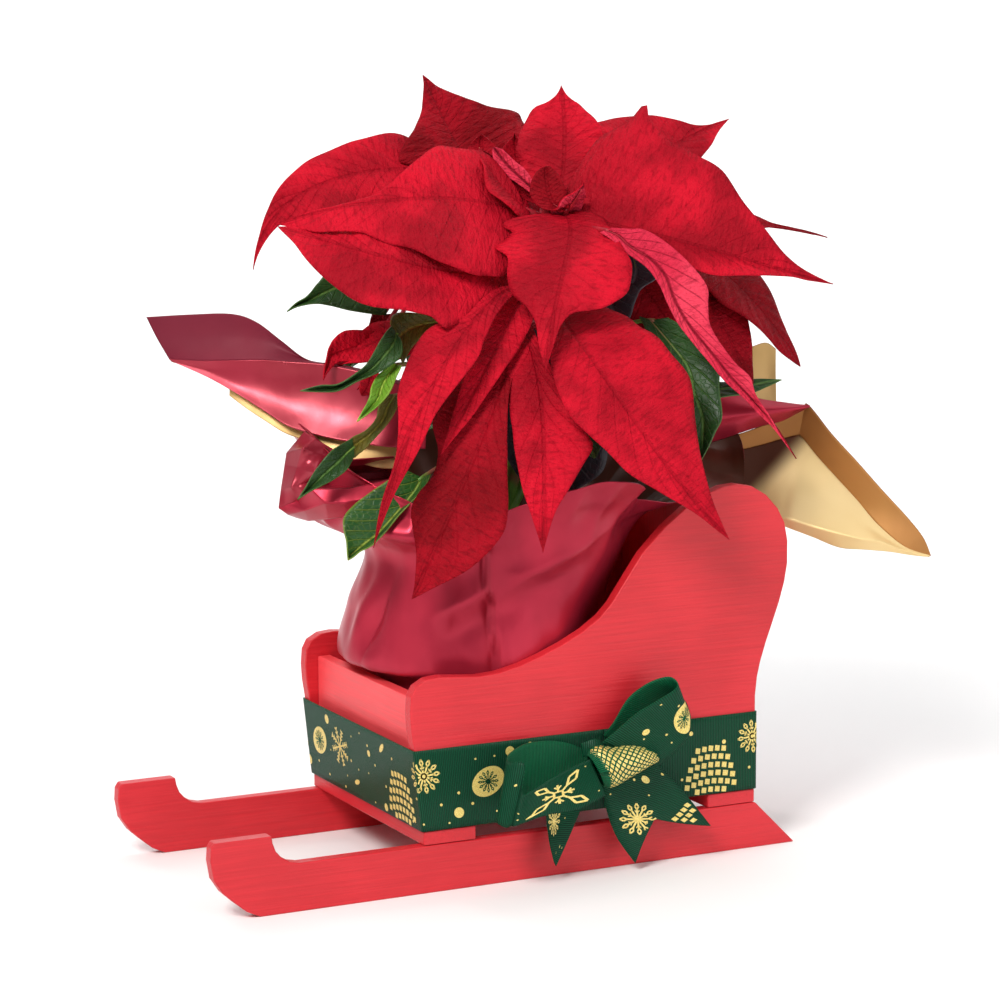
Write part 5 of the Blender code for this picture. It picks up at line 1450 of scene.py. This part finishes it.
# Bow, as rows of (x, how far in front of the side panel, height) at each of its two edges. It
# starts a gap in front of the band, whose solid lies a gap in front of the side panel.
BAND_SOLID_THICK = 0.8
FACE = -GAP - BAND_SOLID_THICK - GAP
LOOP_LEFT = (
    ((188, 0.4, 44), (188, 0.4, 57)), ((177, 1, 41), (176, 1, 63)), ((165, 2.5, 39), (164, 3, 66)),
    ((151, 6, 37), (150, 7, 67)), ((139, 11, 36), (139, 13, 65)), ((130, 17, 35), (135, 18, 63)),
    ((132, 22, 33), (137, 22, 63)), ((134, 24, 34), (141, 24, 62)), ((135, 25, 34), (139, 25, 49)),
    ((140, 25, 35), (145, 23, 49)), ((152, 24, 37), (154, 21, 52)), ((169, 22, 37), (166, 17, 55)),
    ((185, 19, 41), (180, 14, 58)),
)
LOOP_RIGHT = (
    ((194, 0.6, 65), (206, 0.6, 56)), ((198, 3, 71), (218, 3, 63)), ((203, 7, 82), (224, 6, 72)),
    ((209, 10, 88), (228, 9, 78)), ((215, 14, 92), (231, 12, 80)), ((221, 17, 93), (232, 15, 75)),
    ((222, 21, 89), (231, 18, 71)), ((210, 21, 83), (229, 19, 64)), ((202, 18, 78), (224, 18, 58)),
    ((193, 15, 70), (218, 16, 53)), ((187, 13, 65), (214, 14, 51)),
)
TAIL_RIGHT = (
    ((191, 7, 49), (218, 7, 53)), ((190, 8, 42), (222, 8, 47)), ((191, 9, 32), (231, 9, 37)),
    ((196, 10, 18), (239, 10, 27)), ((206, 10, 4), (247, 10, 17)),
)
TAIL_LEFT = (
    ((163, 2, 40), (185, 2, 40)), ((161, 6, 32), (179, 6, 32)), ((161, 9, 20), (170, 9, 18)),
    ((163, 10, 10), (164, 10, 8)),
)
TAIL_NOTCH = 17.0
# Each piece of the bow, its rows, how deep its end is notched, and its prints
BOW_RIBBONS = (
    ("bow_loop_left", LOOP_LEFT, 0.0,
     (("kite", 99.0, 19.0, 0.785, 1.3), ("oval", 84.0, 5.0, 0.6, 0.8))),
    ("bow_loop_right", LOOP_RIGHT, 0.0,
     (("ball", 52.0, 27.0, 1.4, 1.15), ("disc", 70.0, 14.0, 0.0, 0.8),
      ("oval", 84.0, 31.0, 0.4, 0.9))),
    ("bow_tail_left", TAIL_LEFT, 0.0, (("beaded", 14.0, 9.0, 0.0, 0.9),)),
    ("bow_tail_right", TAIL_RIGHT, TAIL_NOTCH,
     (("beaded", 27.0, 12.0, 0.2, 1.0), ("disc", 9.0, 25.0, 0.0, 0.9),
      ("cone", 40.0, 34.0, 0.5, 0.9))),
)

# Knot, as rows of ((x, height) at its top, (x, height) at its foot, half its depth)
KNOT_ROWS = (
    ((179.0, 59.4), (186.9, 44.2), 4.0), ((181.1, 62.4), (189.5, 43.4), 7.0),
    ((185.3, 63.4), (192.7, 44.0), 8.5), ((192.2, 61.9), (196.9, 45.9), 8.5),
    ((199.6, 62.2), (204.4, 48.9), 7.5), ((207.0, 61.0), (210.8, 51.5), 6.0),
    ((212.9, 58.5), (214.5, 53.0), 4.5), ((215.6, 55.8), (216.1, 54.8), 1.5),
)
# The small fold of ribbon that shows above the knot's wide end
KNOT_COLLAR = (((179, 9, 58), (178, 8, 64)), ((181, 12, 59), (184, 9, 66)),
               ((186, 14, 60), (188, 9, 65)), ((190, 13, 60), (190, 9, 63)))
# The knot's grid, then its printed scales: between which shares of it they run, how many a row
# has, how far each turns about it, and how much of their place they fill
KNOT_RINGS, KNOT_SIDES = 34, 44
KNOT_PRINT = (0.07, 0.95)
KNOT_SCALES = 9
KNOT_SCALE_TURN = 0.36
KNOT_SCALE_FILL = 0.37


def bow_ribbon(rows, notch=0.0):
    """A ribbon from rows of (x, how far in front of the side panel, height)."""
    placed = [[(x, FACE - out, z) for x, out, z in row] for row in rows]
    return Ribbon(placed, notch=notch)


def knot_point(share, turn, lift=0.0):
    """A place on the knot: its share from the wide end to the tip, and its turn about it."""
    rows = np.array([(*top, *foot, deep) for top, foot, deep in KNOT_ROWS])
    spread = smooth_rows(rows, 60)
    values = [np.interp(share, np.linspace(0, 1, 60), spread[:, k]) for k in range(5)]
    top, foot = np.array(values[:2]), np.array(values[2:4])
    deep = values[4] * (1 + 0.03 * math.cos(9 * turn)) + lift
    half = (top - foot) / 2 * (1 + lift / max(np.linalg.norm(top - foot) / 2, 1.0))
    x, z = (top + foot) / 2 + half * math.sin(turn)
    return (x, FACE - KNOT_OUT - deep * math.cos(turn), z)


def build_knot(paint, gold):
    """The knot: ribbon pulled round the bow's middle, wide at its left and pinched at its right."""
    pile = Pile()
    turns = np.linspace(0, math.tau, KNOT_SIDES, endpoint=False)
    shares = np.linspace(0, 1, KNOT_RINGS)
    spots = np.array([[knot_point(share, turn) for turn in turns] for share in shares])
    size = np.stack(np.broadcast_arrays(turns * 0.09, shares[:, None] * 0.36), axis=-1)
    pile.add(spots, grid_faces(KNOT_RINGS, KNOT_SIDES, closed=True)[:, ::-1], size, size)
    bow_ribbon(KNOT_COLLAR).add_to(pile)
    finish_ribbon("ribbon_bow_knot", pile, "bow_knot", paint)
    print_knot(gold)


def print_knot(gold):
    """Rows of gold scales over the knot's near side, smaller towards its tip."""
    share, last = KNOT_PRINT
    wide = KNOT_SCALE_TURN * KNOT_SCALE_FILL
    row = 0
    while share < last:
        step = 0.085 - 0.05 * share
        long = step * KNOT_SCALE_FILL
        for k in range(KNOT_SCALES):
            turn = (k + 0.5 * (row % 2) - KNOT_SCALES / 2) * KNOT_SCALE_TURN
            outline = ((share - long, turn), (share, turn - wide), (share + long, turn),
                       (share, turn + wide))
            spots = [knot_point(a, b, RIBBON_THICK / 2 + PRINT_LIFT) for a, b in outline]
            flat = np.array(outline) / 10
            gold.add(spots, [[0, 1, 2, 3]], flat, flat)
        share += step * 0.58
        row += 1


def finish_ribbon(name, pile, node, paints):
    """Makes a piece of ribbon of the pile, in place of its node."""
    piece = thicken(pile.piece(name, paints), RIBBON_THICK)
    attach(piece, "root")
    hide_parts(node)


def build_ribbon(paints):
    """The printed band round the box, and the bow on its near side."""
    gold, green = Pile(), Pile()
    band = Ribbon(band_rows(), smooth=False)
    motifs = []
    for start in np.arange(BAND_REPEAT_START - BAND_REPEAT_LONG, band.along[-1], BAND_REPEAT_LONG):
        motifs += [(kind, start + x, y, turn, size) for kind, x, y, turn, size in BAND_REPEAT]
    ribbons = [("printed_band", "ribbon_band", band, motifs, 5)]
    ribbons += [("ribbon_" + node, node, bow_ribbon(rows, notch), found, 11)
                for node, rows, notch, found in BOW_RIBBONS]
    for name, node, ribbon, found, seed in ribbons:
        pile = Pile()
        ribbon.add_to(pile)
        finish_ribbon(name, pile, node, paints["ribbon"])
        print_ribbon(ribbon, found, seed, gold, green)
    build_knot(paints["ribbon"], gold)
    for name, found, paint in (("gold_print", gold, paints["gold"]),
                               ("green_print", green, paints["ribbon"][0])):
        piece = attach(found.piece(name, [paint]), "root")


# Boards, pot and soil, which keep their solids

EDGE_ROUND = 0.7
GRAIN = {"red_x": ("runner_near", "runner_far", "side_near", "side_far", "floor_board"),
         "red_y": ("slat_front", "slat_rear"), "red_z": ("back_board",),
         "front_painted_light_y": ("front_board",), "pot": ("pot",), "soil": ("soil",)}


def dress_boards(paints):
    """Paints the solids that stay, and rounds the edges of the boards a little."""
    for key, names in GRAIN.items():
        for name in names:
            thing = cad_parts[name]
            thing.data.materials.clear()
            thing.data.materials.append(paints[key])
            if key in ("pot", "soil"):
                continue
            weld = thing.modifiers.new("weld", "WELD")
            weld.merge_threshold = 0.00001
            bevel = thing.modifiers.new("soft_edges", "BEVEL")
            bevel.width = EDGE_ROUND * MM
            bevel.segments = 3
            bevel.limit_method = "ANGLE"
            bevel.angle_limit = math.radians(40)
            bevel.harden_normals = True


def build_paints():
    """All the materials; where a piece has several, each is followed by its back's."""
    film_in = film_paint("film_inside", "CCA870", "BA965C", 0.42, 0.35)
    film_out = film_paint("film_outside", "BA2C42", "A02036", 0.32, 0.5)
    paints = {"red_" + axis: painted_wood("red_paint_" + axis, "D42832", "C4202A", axis)
              for axis in "xyz"}
    paints.update({
        # painted light: the same red paint made brighter on the front board, whose face gets the most
        # light
        "front_painted_light_y": painted_wood("red_paint_front_painted_light", "F85056", "EA464C", "y"),
        "pot": plain_plastic("pot_plastic_dark", "3A3E3E", "24282A"),
        "soil": soil_paint(),
        "bract": [bract_paint("bract_" + name, *values) for name, *values in (
            ("top", "C61128", "960A1C", "740412", 0.12, 0.0),
            ("under", "E44058", "CC2A44", "7A0C20", 0.6, 0.05),
            ("top_shade", "9C0A1C", "7C0612", "58020C", 0.05, 0.0),
            ("under_shade", "B42440", "9A1830", "6A0A1C", 0.5, 0.0))],
        "leaf": [leaf_paint("leaf_" + name, *colours) for name, *colours in (
            ("top", "24481A", "12300E", "4E7030"), ("under", "4A6A3A", "36562C", "7A8E50"),
            ("top_bright", "6E9C2A", "44801C", "98B840"),
            ("under_bright", "6A8A40", "567A34", "98A860"),
            # painted shade: a green leaf darkened to slate grey
            ("slate", "3A3840", "26252E", "66646A"),
            ("slate_under", "30343A", "202428", "5A5C60"),
            ("olive", "5A5014", "3C4A14", "7A7028"),
            ("olive_under", "4A5014", "343E10", "6A6A28"),
            ("edged", "26541A", "123A18", "8C9C38"),
            ("edged_under", "4A6A3A", "36562C", "7A8E50"))],
        "red_stem": stem_paint("stalk_red", "B01828", "8A1020", "C83040"),
        "green_stem": stem_paint("stem_green", "6E9A38", "4C7828", "8C5040"),
        "film": [film_out, film_in,
                 # painted shade: the dull pair, rougher and darker than the plain film
                 film_paint("film_outside_dull_painted_shade", "761A2E", "681428", 0.55, 0.1, 0.22),
                 film_paint("film_inside_dull_painted_shade", "B07C42", "9C6A38", 0.5, 0.3),
                 film_out,
                 # painted light and shade: the gold inside made brighter, and dark brown deep in the
                 # right wing and inside the cup
                 film_paint("film_inside_wing_painted_light_and_shade", "F0D69E", "E6C98C", 0.4, 0.3, shade="502A1A"),
                 # painted shade: the glossy folds' outside, darker than the plain film's
                 film_paint("film_outside_wing_painted_shade", "A4283C", "92202F", 0.31, 0.35, 0.45),
                 film_in],
        "ribbon": [ribbon_paint("ribbon_weave", "0E6640", "03281A"),
                   # painted shade: the ribbon's inner face, darker than its outer face
                   ribbon_paint("ribbon_inside_painted_shade", "0A4A30", "021A10")],
        "gold": gold_print("gold_foil"),
        "bud": bud_paint(),
    })
    return paints


# Camera, lights and floor

CAMERA_AWAY = 1377.5
CAMERA_AIM = (141.66, 0.0, 179.75)
FOCAL_SHARE = 3.0264
SENSOR_WIDE = 36.0
# Metres from here on. Each light has a place, a size, a power and a colour.
LIGHT_AIM = (0.0, 0.0, 0.19)
LIGHTS = (
    ("key", (-1.05, -0.85, 1.25), 0.5, 25.0, (1.0, 0.98, 0.95)),
    ("fill", (0.9, -1.5, 0.7), 1.4, 10.5, (1.0, 1.0, 1.0)),
    ("top", (0.2, 0.3, 1.9), 1.6, 9.0, (1.0, 1.0, 1.0)),
)
# The two lights on the backdrop: how far behind, beside and above the part they hang, how far
# behind and above it they aim, their size and their power
BACKDROP_LIGHT = (1.1, 1.3, 1.7)
BACKDROP_AIM = (2.7, 0.9)
BACKDROP_SIZE, BACKDROP_POWER = 1.0, 26.0
AIR_LIGHT = 0.3
# The floor's half width, where it starts in front, where it begins to bend up, the radius of
# that bend, and how high it goes
SWEEP_HALF = 6.0
SWEEP_FRONT = -6.0
SWEEP_FLAT = 1.6
SWEEP_BEND = 1.2
SWEEP_HIGH = 6.0


def add_camera():
    """The photograph's view, fitted to the sleigh's straight edges."""
    place = to_row(np.array(CAMERA_AIM) + VIEW_NEAR * CAMERA_AWAY)
    data = bpy.data.cameras.new("camera")
    data.sensor_width = SENSOR_WIDE
    data.lens = FOCAL_SHARE * SENSOR_WIDE
    camera = add_object("camera", data)
    rows = [(*VIEW_AXES[:, k], place[k]) for k in range(3)]
    camera.matrix_world = Matrix(rows + [(0, 0, 0, 1)])
    bpy.context.scene.camera = camera


def add_light(name, place, aim, size, power, colour=(1.0, 1.0, 1.0)):
    """A square area light at a place, facing its aim."""
    data = bpy.data.lights.new(name, "AREA")
    data.size = size
    data.energy = power
    data.color = colour
    back = unit(np.array(place) - aim)
    right = unit(np.cross([0.0, 0.0, 1.0], back))
    up = np.cross(back, right)
    rows = [(right[k], up[k], back[k], place[k]) for k in range(3)]
    add_object(name, data).matrix_world = Matrix(rows + [(0, 0, 0, 1)])


def add_floor(back):
    """A white floor that curves up into the backdrop."""
    tree = Tree("studio_white", Roughness=0.9, Specular_IOR_Level=0.1,
                Base_Color=(0.92, 0.92, 0.92, 1.0))
    profile = [(SWEEP_FRONT, 0.0), (SWEEP_FLAT, 0.0)]
    profile += [(SWEEP_FLAT + SWEEP_BEND * math.sin(a), SWEEP_BEND * (1 - math.cos(a)))
                for a in np.linspace(0.1, math.pi / 2, 14)]
    profile.append((SWEEP_FLAT + SWEEP_BEND, SWEEP_HIGH))
    points = [back * out + LEVEL_RIGHT * side + (0, 0, high)
              for out, high in profile for side in (-SWEEP_HALF, SWEEP_HALF)]
    mesh = bpy.data.meshes.new("studio_sweep")
    mesh.from_pydata([tuple(p) for p in points], [], grid_faces(len(profile), 2).tolist())
    mesh.polygons.foreach_set("use_smooth", [True] * len(mesh.polygons))
    mesh.materials.append(tree.material)
    floor = add_object("studio_sweep", mesh)


def add_studio():
    """The floor, soft studio light and the white air."""
    back = np.array([-math.sin(CAMERA_TURN), math.cos(CAMERA_TURN), 0.0])
    add_floor(back)
    for name, place, size, power, colour in LIGHTS:
        add_light(name, place, LIGHT_AIM, size, power, colour)
    away, beside, above = BACKDROP_LIGHT
    aim = back * BACKDROP_AIM[0] + (0, 0, BACKDROP_AIM[1])
    for side in (-beside, beside):
        place = back * away + LEVEL_RIGHT * side + (0, 0, above)
        add_light("backdrop", place, aim, BACKDROP_SIZE, BACKDROP_POWER)
    world = bpy.data.worlds.new("studio_air")
    world.use_nodes = True
    air = world.node_tree.nodes["Background"].inputs
    air[0].default_value = (1.0, 1.0, 1.0, 1.0)
    air[1].default_value = AIR_LIGHT
    bpy.context.scene.world = world
    bpy.context.scene.view_settings.view_transform = "Standard"


paints = build_paints()
dress_boards(paints)
build_ribbon(paints)
build_film(paints)
build_leaves(paints)
for name, top, bracts, depth in BLOOMS:
    build_bloom(name, top, bracts, depth, paints)
    build_buds(name, top, paints["bud"])
add_camera()
add_studio()
